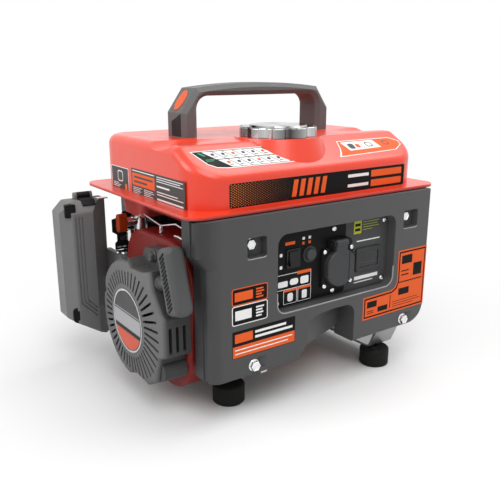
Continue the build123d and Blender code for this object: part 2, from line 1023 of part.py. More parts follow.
# Rear cover: plain moulding with rows of air slots in front of the silencer
with BuildPart() as rear_cover:
    add(cover_block(rear_points, 0, 1))
    add(cover_block(rear_points, cover_wall, 1), mode=Mode.SUBTRACT)
    add(cover_relief(1), mode=Mode.SUBTRACT)
    with BuildSketch(front_plane(cover_face_y)):
        with Locations(*pocket_spots):
            Rectangle(pocket_width + 2 * cover_wall, pocket_height + 2 * cover_wall)
    extrude(amount=tub_depth)
    with BuildSketch(front_plane(cover_face_y - cover_wall)):
        with Locations(*lower_bolts):
            Circle(bolt_flange / 2 + cover_wall)
    extrude(amount=tub_depth - cover_wall)
    with BuildSketch(front_plane(cover_face_y)):
        with Locations(*pocket_spots):
            RectangleRounded(pocket_width, pocket_height, pocket_corner)
    extrude(amount=pocket_depth, taper=pocket_taper, mode=Mode.SUBTRACT)
    with BuildSketch(front_plane(cover_face_y)):
        with Locations(*upper_bolts, *lower_bolts):
            Circle(bolt_shank / 2 + screw_room)
        with Locations(((muffler_left_x + muffler_right_x) / 2, muffler_z)):
            with GridLocations(0, vent_pitch, 1, vent_rows):
                SlotOverall(vent_length, vent_height)
    extrude(amount=2 * tub_depth, mode=Mode.SUBTRACT)
rear_cover.part.label = "rear_cover"
export_step(rear_cover.part, "parts/rear_cover.step")


def tank_rail(x):
    """Steel strip under the tank, bolted to the upper pockets of both covers."""
    with BuildPart() as rail:
        with BuildSketch(Plane.YZ.offset(x - tank_rail_width / 2)):
            with BuildLine() as path:
                FilletPolyline(
                    (-tab_y + rail_sheet / 2, upper_bolt_z + tank_tab_rise),
                    (-tab_y + rail_sheet / 2, tank_rail_z),
                    (tab_y - rail_sheet / 2, tank_rail_z),
                    (tab_y - rail_sheet / 2, upper_bolt_z + tank_tab_rise),
                    radius=rail_bend / 2,
                )
            trace(path.line, line_width=rail_sheet)
        extrude(amount=tank_rail_width)
        with BuildSketch(front_plane(-cover_face_y)):
            with Locations((x, upper_bolt_z)):
                Circle(bolt_shank / 2 + screw_room)
        extrude(amount=-2 * cover_face_y, mode=Mode.SUBTRACT)
    return rail.part


with BuildPart() as tank_rails:
    add(tank_rail(left_bolt_x))
    add(tank_rail(right_bolt_x))
tank_rails.part.label = "tank_rails"
export_step(tank_rails.part, "parts/tank_rails.step")

# Rubber mounts between the rails and the tank pan
pan_floor = seam_z - pan_depth
rail_face = tank_rail_z + rail_sheet / 2
with BuildPart() as tank_mounts:
    with BuildSketch(Plane.XY.offset(rail_face)):
        with Locations((left_bolt_x, -mount_y), (right_bolt_x, -mount_y), (right_bolt_x, mount_y)):
            Circle(tank_rail_width / 2)
    extrude(amount=pan_floor - rail_face)
    with BuildSketch(Plane.XY.offset(rail_face)):
        with Locations((left_bolt_x, sump_y)):
            Circle(tank_rail_width / 2)
    extrude(amount=seam_z - sump_drop - rail_face)
tank_mounts.part.label = "tank_mounts"
export_step(tank_mounts.part, "parts/tank_mounts.step")

# Control plate: black sheet screwed to the recess floor, with cut-outs for what it carries
plate_y = -plate_face_y
plate_plane = front_plane(plate_y)
plate_room = -recess_draft - plate_gap
socket_screw_reach = socket_screw_pitch / 2
socket_screw_spots = [
    (socket_x + i * socket_screw_reach, socket_z + j * socket_screw_reach) for i in (-1, 1) for j in (-1, 1)
]
socket_shell = socket_well / 2 + socket_wall
meter_body_width = meter_width - 2 * meter_lap
meter_body_height = meter_height - 2 * meter_lap
switch_body_width = switch_width - 2 * switch_lap
switch_body_height = switch_height - 2 * switch_lap
breaker_body = breaker_diameter / 2 - breaker_lap
with BuildPart() as control_plate:
    with BuildSketch(plate_plane):
        add(recess_sketch(plate_room))
        with Locations(*plate_screw_spots, *socket_screw_spots):
            Circle(plate_screw_shank / 2 + screw_room, mode=Mode.SUBTRACT)
        with Locations((switch_x, switch_z)):
            Rectangle(switch_body_width + 2 * slip, switch_body_height + 2 * slip, mode=Mode.SUBTRACT)
        with Locations((breaker_x, breaker_z)):
            Circle(breaker_body + slip, mode=Mode.SUBTRACT)
        with Locations((socket_x, socket_z)):
            Circle(socket_shell + slip, mode=Mode.SUBTRACT)
        with Locations((meter_x, meter_z)):
            Rectangle(meter_body_width + 2 * slip, meter_body_height + 2 * slip, mode=Mode.SUBTRACT)
    extrude(amount=-plate_sheet)
control_plate.part.label = "control_plate"
export_step(control_plate.part, "parts/control_plate.step")

# Plate screws: six in the plate, four in the socket flange
flange_face = plate_y - socket_sheet
with BuildPart() as panel_screws:
    for spots, seat, head in (
        (plate_screw_spots, plate_y, plate_screw_head),
        (socket_screw_spots, flange_face, socket_screw_head),
    ):
        with BuildSketch(front_plane(seat)):
            with Locations(*spots):
                Circle(head / 2)
        extrude(amount=screw_head_height, taper=screw_head_taper)
        with BuildSketch(front_plane(seat)):
            with Locations(*spots):
                Circle(plate_screw_shank / 2)
        extrude(amount=seat - plate_y - plate_sheet - screw_tip)
panel_screws.part.label = "panel_screws"
export_step(panel_screws.part, "parts/panel_screws.step")

# Engine switch: housing clipped in the plate, rocker on two trunnions
rocker_width = switch_width - 2 * switch_border
rocker_height = switch_height - 2 * switch_border
rocker_axis_y = plate_y - rocker_axis_rise
with BuildPart() as switch_housing:
    with BuildSketch(plate_plane):
        with Locations((switch_x, switch_z)):
            RectangleRounded(switch_width, switch_height, switch_corner)
    extrude(amount=bezel_height)
    with BuildSketch(plate_plane):
        with Locations((switch_x, switch_z)):
            Rectangle(switch_body_width, switch_body_height)
    extrude(amount=-switch_depth)
    with BuildSketch(front_plane(plate_y - bezel_height)):
        with Locations((switch_x, switch_z)):
            Rectangle(rocker_width + 2 * slip, rocker_height + 4 * slip)
    extrude(amount=-bezel_height - rocker_well, mode=Mode.SUBTRACT)
    with BuildSketch(Plane.YZ.offset(switch_x - rocker_width / 2 - trunnion_length - slip)):
        with Locations((rocker_axis_y, switch_z)):
            Circle(rocker_pin + fit)
    extrude(amount=rocker_width + 2 * (trunnion_length + slip), mode=Mode.SUBTRACT)
switch_housing.part.label = "switch_housing"
export_step(switch_housing.part, "parts/switch_housing.step")

rocker_plane = Plane(
    origin=(switch_x - rocker_width / 2, rocker_axis_y, switch_z),
    x_dir=(0, sin(radians(rocker_swing)), cos(radians(rocker_swing))),
    z_dir=(1, 0, 0),
)
with BuildPart() as switch_rocker:
    with BuildSketch(rocker_plane):
        with BuildLine():
            Polyline(
                (-rocker_height / 2, -rocker_heel),
                (-rocker_height / 2, rocker_thickness),
                (0, rocker_thickness - rocker_dip),
                (rocker_height / 2, rocker_thickness),
                (rocker_height / 2, -rocker_heel),
                (0, -rocker_keel),
                close=True,
            )
        make_face()
    extrude(amount=rocker_width)
    with BuildSketch(rocker_plane.offset(-trunnion_length)):
        Circle(rocker_pin)
    extrude(amount=rocker_width + 2 * trunnion_length)
switch_rocker.part.label = "switch_rocker"
export_step(switch_rocker.part, "parts/switch_rocker.step")

# Circuit breaker: round housing and push button
with BuildPart() as breaker_housing:
    with BuildSketch(plate_plane):
        with Locations((breaker_x, breaker_z)):
            Circle(breaker_diameter / 2)
    extrude(amount=bezel_height)
    with BuildSketch(plate_plane):
        with Locations((breaker_x, breaker_z)):
            Circle(breaker_body)
    extrude(amount=-breaker_depth)
    with BuildSketch(front_plane(plate_y - bezel_height)):
        with Locations((breaker_x, breaker_z)):
            Circle(button_diameter / 2 + slip)
    extrude(amount=-bezel_height - button_well, mode=Mode.SUBTRACT)
breaker_housing.part.label = "breaker_housing"
export_step(breaker_housing.part, "parts/breaker_housing.step")

button_back_y = plate_y + button_well - button_travel - slip
with BuildPart() as breaker_button:
    with BuildSketch(front_plane(button_back_y)):
        with Locations((breaker_x, breaker_z)):
            Circle(button_diameter / 2)
    extrude(amount=button_back_y - plate_y + bezel_height + button_proud)
    fillet(breaker_button.edges().group_by(Axis.Y)[0], button_edge)
breaker_button.part.label = "breaker_button"
export_step(breaker_button.part, "parts/breaker_button.step")

# Power socket: square flange, round well, two contact sleeves, hinge ears above
well_floor_y = flange_face + well_depth
contact_spots = [(socket_x - contact_pitch / 2, socket_z), (socket_x + contact_pitch / 2, socket_z)]
hinge_y = flange_face - knuckle_radius - knuckle_gap
with BuildPart() as socket_body:
    with BuildSketch(plate_plane):
        with Locations((socket_x, socket_z)):
            RectangleRounded(socket_flange, socket_flange, socket_corner)
        with Locations((socket_x, (socket_z + lid_hinge_z) / 2 + ear_rise)):
            Rectangle(2 * (knuckle_half + ear_width), lid_hinge_z - socket_z)
    extrude(amount=socket_sheet)
    with BuildSketch(plate_plane):
        with Locations((socket_x, socket_z)):
            Circle(socket_shell)
    extrude(amount=-socket_depth)
    for side in (-1, 1):
        start_x = socket_x + side * (knuckle_half + ear_width / 2 + slip) - ear_width / 2
        with BuildSketch(Plane.YZ.offset(start_x)):
            with Locations((hinge_y, lid_hinge_z)):
                Circle(knuckle_radius)
            with Locations(((hinge_y + flange_face) / 2, lid_hinge_z)):
                Rectangle(flange_face - hinge_y, 2 * knuckle_radius)
        extrude(amount=ear_width)
    with BuildSketch(front_plane(flange_face)):
        with Locations((socket_x, socket_z)):
            Circle(socket_well / 2)
    extrude(amount=-well_depth, mode=Mode.SUBTRACT)
    with BuildSketch(front_plane(well_floor_y)):
        with Locations(*contact_spots):
            Circle(contact_radius)
    extrude(amount=-contact_length, mode=Mode.SUBTRACT)
    with BuildSketch(front_plane(flange_face)):
        with Locations(*socket_screw_spots):
            Circle(plate_screw_shank / 2 + screw_room)
    extrude(amount=-socket_sheet, mode=Mode.SUBTRACT)
    with BuildSketch(Plane.YZ.offset(socket_x - socket_flange)):
        with Locations((hinge_y, lid_hinge_z)):
            Circle(lid_pin / 2)
    extrude(amount=2 * socket_flange, mode=Mode.SUBTRACT)
socket_body.part.label = "socket_body"
export_step(socket_body.part, "parts/socket_body.step")

with BuildPart() as socket_contacts:
    with BuildSketch(front_plane(well_floor_y)):
        with Locations(*contact_spots):
            Circle(contact_radius)
            Circle(contact_bore, mode=Mode.SUBTRACT)
    extrude(amount=-contact_length)
socket_contacts.part.label = "socket_contacts"
export_step(socket_contacts.part, "parts/socket_contacts.step")

with BuildPart() as lid_pin_rod:
    with BuildSketch(Plane.YZ.offset(socket_x - knuckle_half - ear_width - slip)):
        with Locations((hinge_y, lid_hinge_z)):
            Circle(lid_pin / 2)
    extrude(amount=2 * (knuckle_half + ear_width + slip))
lid_pin_rod.part.label = "socket_lid_pin"
export_step(lid_pin_rod.part, "parts/socket_lid_pin.step")

# Sprung socket lid: round flap with straight sides and a knuckle on the pin
lid_back = flange_face - slip
lid_front = lid_back - lid_thickness
with BuildPart() as socket_lid:
    with BuildSketch(front_plane(lid_back)):
        with Locations((socket_x, socket_z)):
            Circle(lid_radius)
            Rectangle(2 * (lid_radius - lid_flat), 4 * lid_radius, mode=Mode.INTERSECT)
        with Locations((socket_x, (socket_z + lid_hinge_z) / 2 + lid_radius / 4)):
            Rectangle(2 * knuckle_half, lid_hinge_z - socket_z - lid_radius / 2)
    extrude(amount=lid_thickness)
    chamfer(socket_lid.faces().sort_by(Axis.Y)[0].edges(), lid_edge)
    with BuildSketch(Plane.YZ.offset(socket_x - knuckle_half)):
        with Locations((hinge_y, lid_hinge_z)):
            Circle(knuckle_radius)
    extrude(amount=2 * knuckle_half)
    with BuildSketch(Plane.YZ.offset(socket_x - socket_flange)):
        with Locations((hinge_y, lid_hinge_z)):
            Circle(lid_pin / 2 + fit)
    extrude(amount=2 * socket_flange, mode=Mode.SUBTRACT)
    with BuildSketch(front_plane(lid_front)):
        with Locations((socket_x + lid_radius / 2, socket_z - 2 * lid_groove)):
            Rectangle(lid_groove, 2 * lid_radius)
    extrude(amount=-lid_groove, mode=Mode.SUBTRACT)
socket_lid.part.label = "socket_lid"
export_step(socket_lid.part, "parts/socket_lid.step")

# Voltmeter: bezel and case in the plate, clear window set in the bezel
window_width = meter_width - 2 * window_border
window_height = meter_height - 2 * window_border
with BuildPart() as voltmeter:
    with BuildSketch(plate_plane):
        with Locations((meter_x, meter_z)):
            RectangleRounded(meter_width, meter_height, meter_corner)
    extrude(amount=meter_bezel)
    chamfer(voltmeter.faces().sort_by(Axis.Y)[0].edges(), meter_edge)
    with BuildSketch(plate_plane):
        with Locations((meter_x, meter_z)):
            Rectangle(meter_body_width, meter_body_height)
    extrude(amount=-meter_depth)
    with BuildSketch(front_plane(plate_y - meter_bezel)):
        with Locations((meter_x, meter_z)):
            Rectangle(window_width, window_height)
    extrude(amount=-meter_bezel, mode=Mode.SUBTRACT)
voltmeter.part.label = "voltmeter"
export_step(voltmeter.part, "parts/voltmeter.step")

with BuildPart() as voltmeter_window:
    with BuildSketch(plate_plane):
        with Locations((meter_x, meter_z)):
            Rectangle(window_width - slip, window_height - slip)
    extrude(amount=meter_bezel - window_sink)
voltmeter_window.part.label = "voltmeter_window"
export_step(voltmeter_window.part, "parts/voltmeter_window.step")


def rope_plane(run):
    """Plane across the starter rope, run along it from the pulley, with its normal along the pull."""
    return Plane(origin=rope_start + rope_dir * run, x_dir=(1, 0, 0), z_dir=rope_dir)


# Recoil starter cover: rounded moulding with radial air slots and side slots
lug_spots = [top_lug, low_lug, rear_lug]
front_lugs = [top_lug, rear_lug]
recoil_depth = recoil_back_x - recoil_face_x
recoil_mid_x = (recoil_back_x + recoil_face_x) / 2
front_reach = recoil_front_y - crank_y
neck_start = grip_run - grip_depth / 2 - neck_length
with BuildPart() as recoil_cover:
    with BuildSketch(crank_plane(recoil_face_x)) as recoil_outline:
        with BuildLine():
            lower = CenterArc((0, 0), recoil_radius, lower_arc_start, lower_arc_sweep)
            upper = CenterArc((0, 0), recoil_upper_radius, upper_arc_start, upper_arc_sweep)
            Line(lower @ 1, upper @ 0)
            Polyline(
                upper @ 1,
                (-lug_plate_left, lug_plate_low),
                (-lug_plate_right, lug_plate_high),
                (-shoulder_y, shoulder_z),
                (-waist_y, waist_z),
                (-shelf_y, shelf_z),
                (front_reach, front_wall_high),
                (front_reach, -front_wall_low),
                (-step_y, -step_z),
                (-heel_y, -heel_z),
                (-keel_y, -keel_z),
                (-toe_y, -toe_z),
                lower @ 0,
            )
        make_face()
        fillet(recoil_outline.vertices(), recoil_edge)
    extrude(amount=recoil_depth)
    fillet(recoil_cover.edges().group_by(Axis.X)[0], recoil_edge)
    with BuildSketch(crank_plane(recoil_back_x - lug_depth)):
        with BuildLine():
            Polyline(
                (-hollow_left, lug_plate_high + lug_radius),
                (-hollow_left, shoulder_z),
                (-hollow_knee_y, hollow_low),
                (-hollow_far_y, hollow_far_z),
                (-waist_y, shoulder_z),
                (-shelf_y, lug_plate_high + lug_radius),
                close=True,
            )
        make_face()
    extrude(amount=lug_depth - recoil_depth, mode=Mode.SUBTRACT)
    with BuildSketch(crank_plane(recoil_back_x)):
        with Locations(rear_lug):
            Circle(lug_radius)
    extrude(amount=-lug_depth)
    with BuildSketch(crank_plane(recoil_back_x)):
        with Locations(low_lug):
            Circle(lug_radius)
    extrude(amount=recoil_edge - recoil_depth)
    with BuildSketch(rope_plane(exit_start)):
        Circle(exit_boss)
    extrude(amount=neck_start - exit_start - slip)
    with BuildSketch(crank_plane(recoil_back_x)):
        Circle(recoil_cavity_radius)
    extrude(amount=recoil_wall - recoil_depth, mode=Mode.SUBTRACT)
    with BuildSketch(crank_plane(recoil_face_x)):
        for i in range(slot_count):
            turn = 360 * i / slot_count
            reach = slot_outer + slot_stretch * max(0, -cos(radians(turn)))
            with PolarLocations((slot_inner + reach) / 2, 1, start_angle=turn):
                SlotOverall(reach - slot_inner, slot_width)
    extrude(amount=2 * recoil_wall, mode=Mode.SUBTRACT)
    with BuildSketch(crank_plane(recoil_face_x)):
        Circle(badge_radius + slip)
    extrude(amount=badge_seat, mode=Mode.SUBTRACT)
    with BuildSketch(crank_plane(recoil_face_x + recoil_wall)):
        Circle(post_radius)
    extrude(amount=rope_x + pulley_width / 2 - recoil_face_x - recoil_wall)
    with BuildSketch(rope_plane(0)):
        Circle(rope_radius + rope_room)
    extrude(amount=grip_run, mode=Mode.SUBTRACT)
    with BuildSketch(rope_plane(neck_start - slip)):
        Circle(neck_radius + slip)
    extrude(amount=grip_run, mode=Mode.SUBTRACT)
    with BuildSketch(front_plane(recoil_front_y)):
        with Locations((recoil_mid_x, crank_z + recoil_edge)):
            with GridLocations(side_slot_pitch, 0, side_slots, 1):
                SlotOverall(side_slot_length, side_slot_width, rotation=90)
    extrude(amount=-side_slot_depth, mode=Mode.SUBTRACT)
    with BuildSketch(crank_plane(recoil_back_x)):
        with Locations(*lug_spots):
            Circle(bolt_shank / 2 + screw_room)
    extrude(amount=-lug_depth, mode=Mode.SUBTRACT)
    with BuildSketch(crank_plane(recoil_back_x - lug_depth)):
        with Locations(*front_lugs):
            Circle(bolt_flange / 2 + screw_room)
    extrude(amount=-recoil_depth, mode=Mode.SUBTRACT)
recoil_cover.part.label = "recoil_cover"
export_step(recoil_cover.part, "parts/recoil_cover.step")

# Plain badge disc in the middle of the cover
with BuildPart() as recoil_badge:
    with BuildSketch(crank_plane(recoil_face_x + badge_seat)):
        Circle(badge_radius)
    extrude(amount=-badge_thickness)
    with BuildSketch(crank_plane(recoil_face_x + badge_seat - badge_thickness)):
        Circle(badge_radius - badge_rim)
    extrude(amount=badge_dish, mode=Mode.SUBTRACT)
recoil_badge.part.label = "recoil_badge"
export_step(recoil_badge.part, "parts/recoil_badge.step")

# Rope pulley on the cover's post
groove_half = rope_radius + 2 * slip
with BuildPart() as recoil_pulley:
    with BuildSketch(crank_plane(rope_x - pulley_width / 2)):
        Circle(pulley_radius)
        Circle(post_radius + fit, mode=Mode.SUBTRACT)
    extrude(amount=pulley_width)
    with BuildSketch(crank_plane(rope_x - groove_half)):
        Circle(pulley_radius + slip)
        Circle(rope_pitch_radius - rope_radius - slip, mode=Mode.SUBTRACT)
    extrude(amount=2 * groove_half, mode=Mode.SUBTRACT)
    with BuildSketch(crank_plane(rope_x)):
        with PolarLocations(pulley_radius / 2, pulley_holes):
            Circle(pulley_hole_radius)
    extrude(amount=pulley_width, both=True, mode=Mode.SUBTRACT)
recoil_pulley.part.label = "recoil_pulley"
export_step(recoil_pulley.part, "parts/recoil_pulley.step")

# Starter rope from the pulley to the grip
with BuildPart() as recoil_rope:
    with BuildSketch(rope_plane(0)):
        Circle(rope_radius)
    extrude(amount=neck_start)
recoil_rope.part.label = "recoil_rope"
export_step(recoil_rope.part, "parts/recoil_rope.step")

# Pull grip: T bar across the rope with a short neck
grip_plane = rope_plane(grip_run)
with BuildPart() as recoil_grip:
    with BuildSketch(grip_plane.offset(-grip_depth / 2)):
        RectangleRounded(grip_width, grip_length, grip_corner)
    extrude(amount=grip_depth)
    fillet(recoil_grip.faces().filter_by(grip_plane).edges(), grip_edge)
    with BuildSketch(grip_plane.offset(-grip_depth / 2 - neck_length)):
        Circle(neck_radius)
    extrude(amount=neck_length + grip_depth / 2)
recoil_grip.part.label = "recoil_grip"
export_step(recoil_grip.part, "parts/recoil_grip.step")


def flange_bolt(seat, spots, length):
    """Hex flange bolts on a seat plane whose normal points to the heads."""
    with BuildPart() as bolt:
        with BuildSketch(seat):
            with Locations(*spots):
                Circle(bolt_flange / 2)
        extrude(amount=bolt_sheet)
        with BuildSketch(seat.offset(bolt_sheet)):
            with Locations(*spots):
                RegularPolygon(bolt_head / 2, 6, major_radius=False)
        extrude(amount=bolt_crown)
        with BuildSketch(seat):
            with Locations(*spots):
                Circle(bolt_shank / 2)
        extrude(amount=-length)
    return bolt.part


# Hex flange bolts: eight in the covers, three in the recoil cover
shank_end = tab_y - 3 * rail_sheet
pocket_seat = cover_face_y - pocket_depth
mirrored_upper = [(-x, z) for x, z in upper_bolts]
mirrored_lower = [(-x, z) for x, z in lower_bolts]
lug_seat = Plane(
    origin=(recoil_back_x - lug_depth, crank_y, crank_z),
    x_dir=(0, -1, 0),
    z_dir=(-1, 0, 0),
)
mirrored_lugs = [(-y, z) for y, z in front_lugs]
low_lug_seat = crank_plane(recoil_back_x + blower_wall)
with BuildPart() as flange_bolts:
    add(flange_bolt(front_plane(-pocket_seat), upper_bolts, pocket_seat - shank_end))
    add(flange_bolt(front_plane(-cover_face_y), lower_bolts, cover_face_y - shank_end))
    add(flange_bolt(rear_plane(pocket_seat), mirrored_upper, pocket_seat - shank_end))
    add(flange_bolt(rear_plane(cover_face_y), mirrored_lower, cover_face_y - shank_end))
    add(flange_bolt(lug_seat, mirrored_lugs, lug_depth + 2 * blower_wall))
    add(flange_bolt(low_lug_seat, [low_lug], lug_depth))
flange_bolts.part.label = "flange_bolts"
export_step(flange_bolts.part, "parts/flange_bolts.step")


def blower_sketch(inset):
    """Outline of the blower housing, drawn in by inset: the hull of four circles about the crank line."""
    with BuildSketch(mode=Mode.PRIVATE) as outline:
        Circle(blower_radius - inset)
        with Locations((blower_low_y, blower_low_z)):
            Circle(blower_low_radius - inset)
        with Locations((blower_front_y, blower_front_z)):
            Circle(blower_front_radius - inset)
        with Locations((blower_rear_y, blower_rear_z)):
            Circle(blower_rear_radius - inset)
        make_hull()
    return outline.sketch


# Red blower housing round the flywheel
with BuildPart() as blower_housing:
    with BuildSketch(crank_plane(recoil_back_x)):
        add(blower_sketch(0))
    extrude(amount=blower_back_x - recoil_back_x)
    fillet(blower_housing.edges().group_by(Axis.X)[0], blower_edge)
    with BuildSketch(crank_plane(recoil_back_x + blower_wall)):
        add(blower_sketch(blower_wall))
    extrude(amount=blower_back_x - recoil_back_x - 2 * blower_wall, mode=Mode.SUBTRACT)
    with BuildSketch(crank_plane(blower_back_x)):
        Circle(spigot_radius - spigot_seat)
        with Locations((0, coil_top)):
            Rectangle(2 * coil_height, 2 * coil_height)
    extrude(amount=-blower_wall, mode=Mode.SUBTRACT)
    with BuildSketch(crank_plane(recoil_back_x)):
        Circle(recoil_cavity_radius)
        with Locations(*lug_spots):
            Circle(bolt_shank / 2 + screw_room)
    extrude(amount=2 * blower_wall, mode=Mode.SUBTRACT)
blower_housing.part.label = "blower_housing"
export_step(blower_housing.part, "parts/blower_housing.step")

# Crankshaft with its flywheel nut
shaft_right_x = end_bearing_x + bearing_width - slip
with BuildPart() as crankshaft:
    with BuildSketch(crank_plane(shaft_left_x)):
        Circle(shaft_radius)
    extrude(amount=shaft_right_x - shaft_left_x)
    chamfer(crankshaft.edges().group_by(Axis.X)[0], bearing_step)
    chamfer(crankshaft.edges().group_by(Axis.X)[-1], bearing_step)
    with BuildSketch(crank_plane(hub_left_x - cup_sheet)):
        RegularPolygon(nut_width / 2, 6, major_radius=False)
    extrude(amount=-nut_height)
crankshaft.part.label = "crankshaft"
export_step(crankshaft.part, "parts/crankshaft.step")

# Flywheel with fan blades
blade_length = flywheel_radius - hub_radius - 2 * blade_room
with BuildPart() as flywheel:
    with BuildSketch(crank_plane(hub_left_x)):
        Circle(hub_radius)
    extrude(amount=hub_right_x - hub_left_x)
    with BuildSketch(crank_plane(disc_left_x)):
        Circle(flywheel_radius)
    extrude(amount=disc_right_x - disc_left_x)
    with BuildSketch(crank_plane(disc_left_x - blade_height)):
        with PolarLocations((hub_radius + flywheel_radius + blade_room) / 2, fan_blades):
            Rectangle(blade_length, blade_sheet, rotation=blade_lean)
    extrude(amount=blade_height)
    with BuildSketch(crank_plane(hub_left_x)):
        Circle(shaft_radius + fit)
    extrude(amount=hub_right_x - hub_left_x, mode=Mode.SUBTRACT)
flywheel.part.label = "flywheel_fan"
export_step(flywheel.part, "parts/flywheel_fan.step")

# Starter cup on the flywheel hub, held by the nut
window_radius = (cup_radius + nut_width / 2) / 2
window_size = (cup_radius - nut_width / 2) / 2
with BuildPart() as starter_cup:
    with BuildSketch(crank_plane(hub_left_x)):
        Circle(cup_radius)
    extrude(amount=-cup_depth)
    with BuildSketch(crank_plane(hub_left_x - cup_sheet)):
        Circle(cup_radius - cup_sheet)
    extrude(amount=-cup_depth, mode=Mode.SUBTRACT)
    with BuildSketch(crank_plane(hub_left_x)):
        Circle(shaft_radius + fit)
        with PolarLocations(window_radius, cup_windows):
            Rectangle(window_size, window_size)
    extrude(amount=-cup_sheet, mode=Mode.SUBTRACT)
starter_cup.part.label = "starter_cup"
export_step(starter_cup.part, "parts/starter_cup.step")

# Crankcase: cast block with a blower spigot, a cylinder boss and a drain boss
case_front = case_front_y - crank_y
case_rear = case_rear_y - crank_y
case_low = rail_top - crank_z
case_high = case_top_z - crank_z
drain_spot = (drain_x, drain_z)
dipstick_spot = (dipstick_x, dipstick_z)
with BuildPart() as crankcase:
    with BuildSketch(crank_plane(case_left_x)) as case_outline:
        with BuildLine():
            Polyline(
                (case_front, case_low),
                (case_rear, case_low),
                (case_rear, case_high - case_rear_drop),
                (case_rear - case_rear_run, case_high),
                (case_front + case_front_run, case_high),
                (case_front, case_high - case_front_drop),
                close=True,
            )
        make_face()
        fillet(case_outline.vertices().group_by(Axis.Y)[1:], case_round)
    extrude(amount=case_right_x - case_left_x)
    with BuildSketch(crank_plane(blower_back_x)):
        Circle(spigot_radius)
    extrude(amount=case_left_x - blower_back_x)
    with BuildSketch(bore_plane(barrel_start)):
        Circle(barrel_radius + alternator_wall)
    extrude(amount=-barrel_start / 2)
    with BuildSketch(front_plane(case_front_y)):
        with Locations(drain_spot):
            Circle(drain_radius)
    extrude(amount=drain_boss)
    with BuildSketch(front_plane(case_rear_y)):
        with Locations(dipstick_spot):
            Circle(dipstick_plug + slip)
    extrude(amount=dipstick_depth, mode=Mode.SUBTRACT)
    with BuildSketch(crank_plane(blower_back_x)):
        Circle(bearing_radius)
    extrude(amount=case_right_x - blower_back_x, mode=Mode.SUBTRACT)
crankcase.part.label = "crankcase"
export_step(crankcase.part, "parts/crankcase.step")

# Shaft bearings: two in the crankcase, one in the alternator's end cover
bearing_starts = [blower_back_x + bearing_step, case_right_x - bearing_width - bearing_step, end_bearing_x]
with BuildPart() as shaft_bearings:
    for x in bearing_starts:
        with BuildSketch(crank_plane(x)):
            Circle(bearing_radius)
            Circle(shaft_radius + fit, mode=Mode.SUBTRACT)
        extrude(amount=bearing_width)
shaft_bearings.part.label = "shaft_bearings"
export_step(shaft_bearings.part, "parts/shaft_bearings.step")

# Finned cylinder barrel, head and valve cover, leaning to the rear
fin_pitch = (barrel_end - barrel_start) / fin_count
with BuildPart() as cylinder_barrel:
    with BuildSketch(bore_plane(barrel_start)):
        Circle(barrel_radius)
    extrude(amount=barrel_end - barrel_start)
    for i in range(fin_count):
        with BuildSketch(bore_plane(barrel_start + (i + 0.5) * fin_pitch)):
            RectangleRounded(fin_span, fin_span, case_round)
        extrude(amount=fin_sheet)
cylinder_barrel.part.label = "cylinder_barrel"
export_step(cylinder_barrel.part, "parts/cylinder_barrel.step")

head_pitch = (head_end - barrel_end) / head_fins
head_height = fin_span - case_round
with BuildPart() as cylinder_head:
    with BuildSketch(bore_plane(barrel_end)):
        RectangleRounded(fin_span, head_height, case_round)
    extrude(amount=head_end - barrel_end)
    for i in range(head_fins):
        with BuildSketch(bore_plane(barrel_end + (i + 0.5) * head_pitch - head_groove / 2)):
            Rectangle(fin_span - 2 * head_groove_depth, head_height + head_groove)
            Rectangle(fin_span, head_height - 2 * head_groove_depth, mode=Mode.SUBTRACT)
        extrude(amount=head_groove, mode=Mode.SUBTRACT)
cylinder_head.part.label = "cylinder_head"
export_step(cylinder_head.part, "parts/cylinder_head.step")

cylinder_axis = Axis(origin=(0, 0, 0), direction=cylinder_dir)
with BuildPart() as valve_cover:
    with BuildSketch(bore_plane(head_end)):
        RectangleRounded(valve_cover_width, valve_cover_height, case_round)
    extrude(amount=valve_cover_end - head_end)
    fillet(valve_cover.faces().sort_by(cylinder_axis)[-1].edges(), valve_cover_rim)
    with BuildSketch(bore_plane(head_end)):
        RectangleRounded(
            valve_cover_width + 2 * valve_cover_rim,
            valve_cover_height + 2 * valve_cover_rim,
            case_round,
        )
    extrude(amount=valve_cover_sheet)
valve_cover.part.label = "valve_cover"
export_step(valve_cover.part, "parts/valve_cover.step")

# Spark plug in the head's right side, with its rubber cap
head_right_x = case_mid_x + fin_span / 2
head_left_x = case_mid_x - fin_span / 2
plug_spot = (plug_y, plug_z)
plug_cap_x = head_right_x + plug_hex_height + slip
with BuildPart() as spark_plug:
    with BuildSketch(Plane.YZ.offset(head_right_x)):
        with Locations(plug_spot):
            RegularPolygon(plug_hex / 2, 6, major_radius=False)
    extrude(amount=plug_hex_height)
    with BuildSketch(Plane.YZ.offset(head_right_x)):
        with Locations(plug_spot):
            Circle(plug_stem)
    extrude(amount=plug_length)
spark_plug.part.label = "spark_plug"
export_step(spark_plug.part, "parts/spark_plug.step")

with BuildPart() as plug_cap:
    with BuildSketch(Plane.YZ.offset(plug_cap_x)):
        with Locations(plug_spot):
            Circle(plug_cap_radius)
    extrude(amount=plug_cap_length)
    fillet(plug_cap.edges().group_by(Axis.X)[-1], plug_cap_radius / 2)
    with BuildSketch(Plane.YZ.offset(plug_cap_x)):
        with Locations(plug_spot):
            Circle(plug_stem + slip)
    extrude(amount=plug_length - plug_hex_height, mode=Mode.SUBTRACT)
plug_cap.part.label = "plug_cap"
export_step(plug_cap.part, "parts/plug_cap.step")

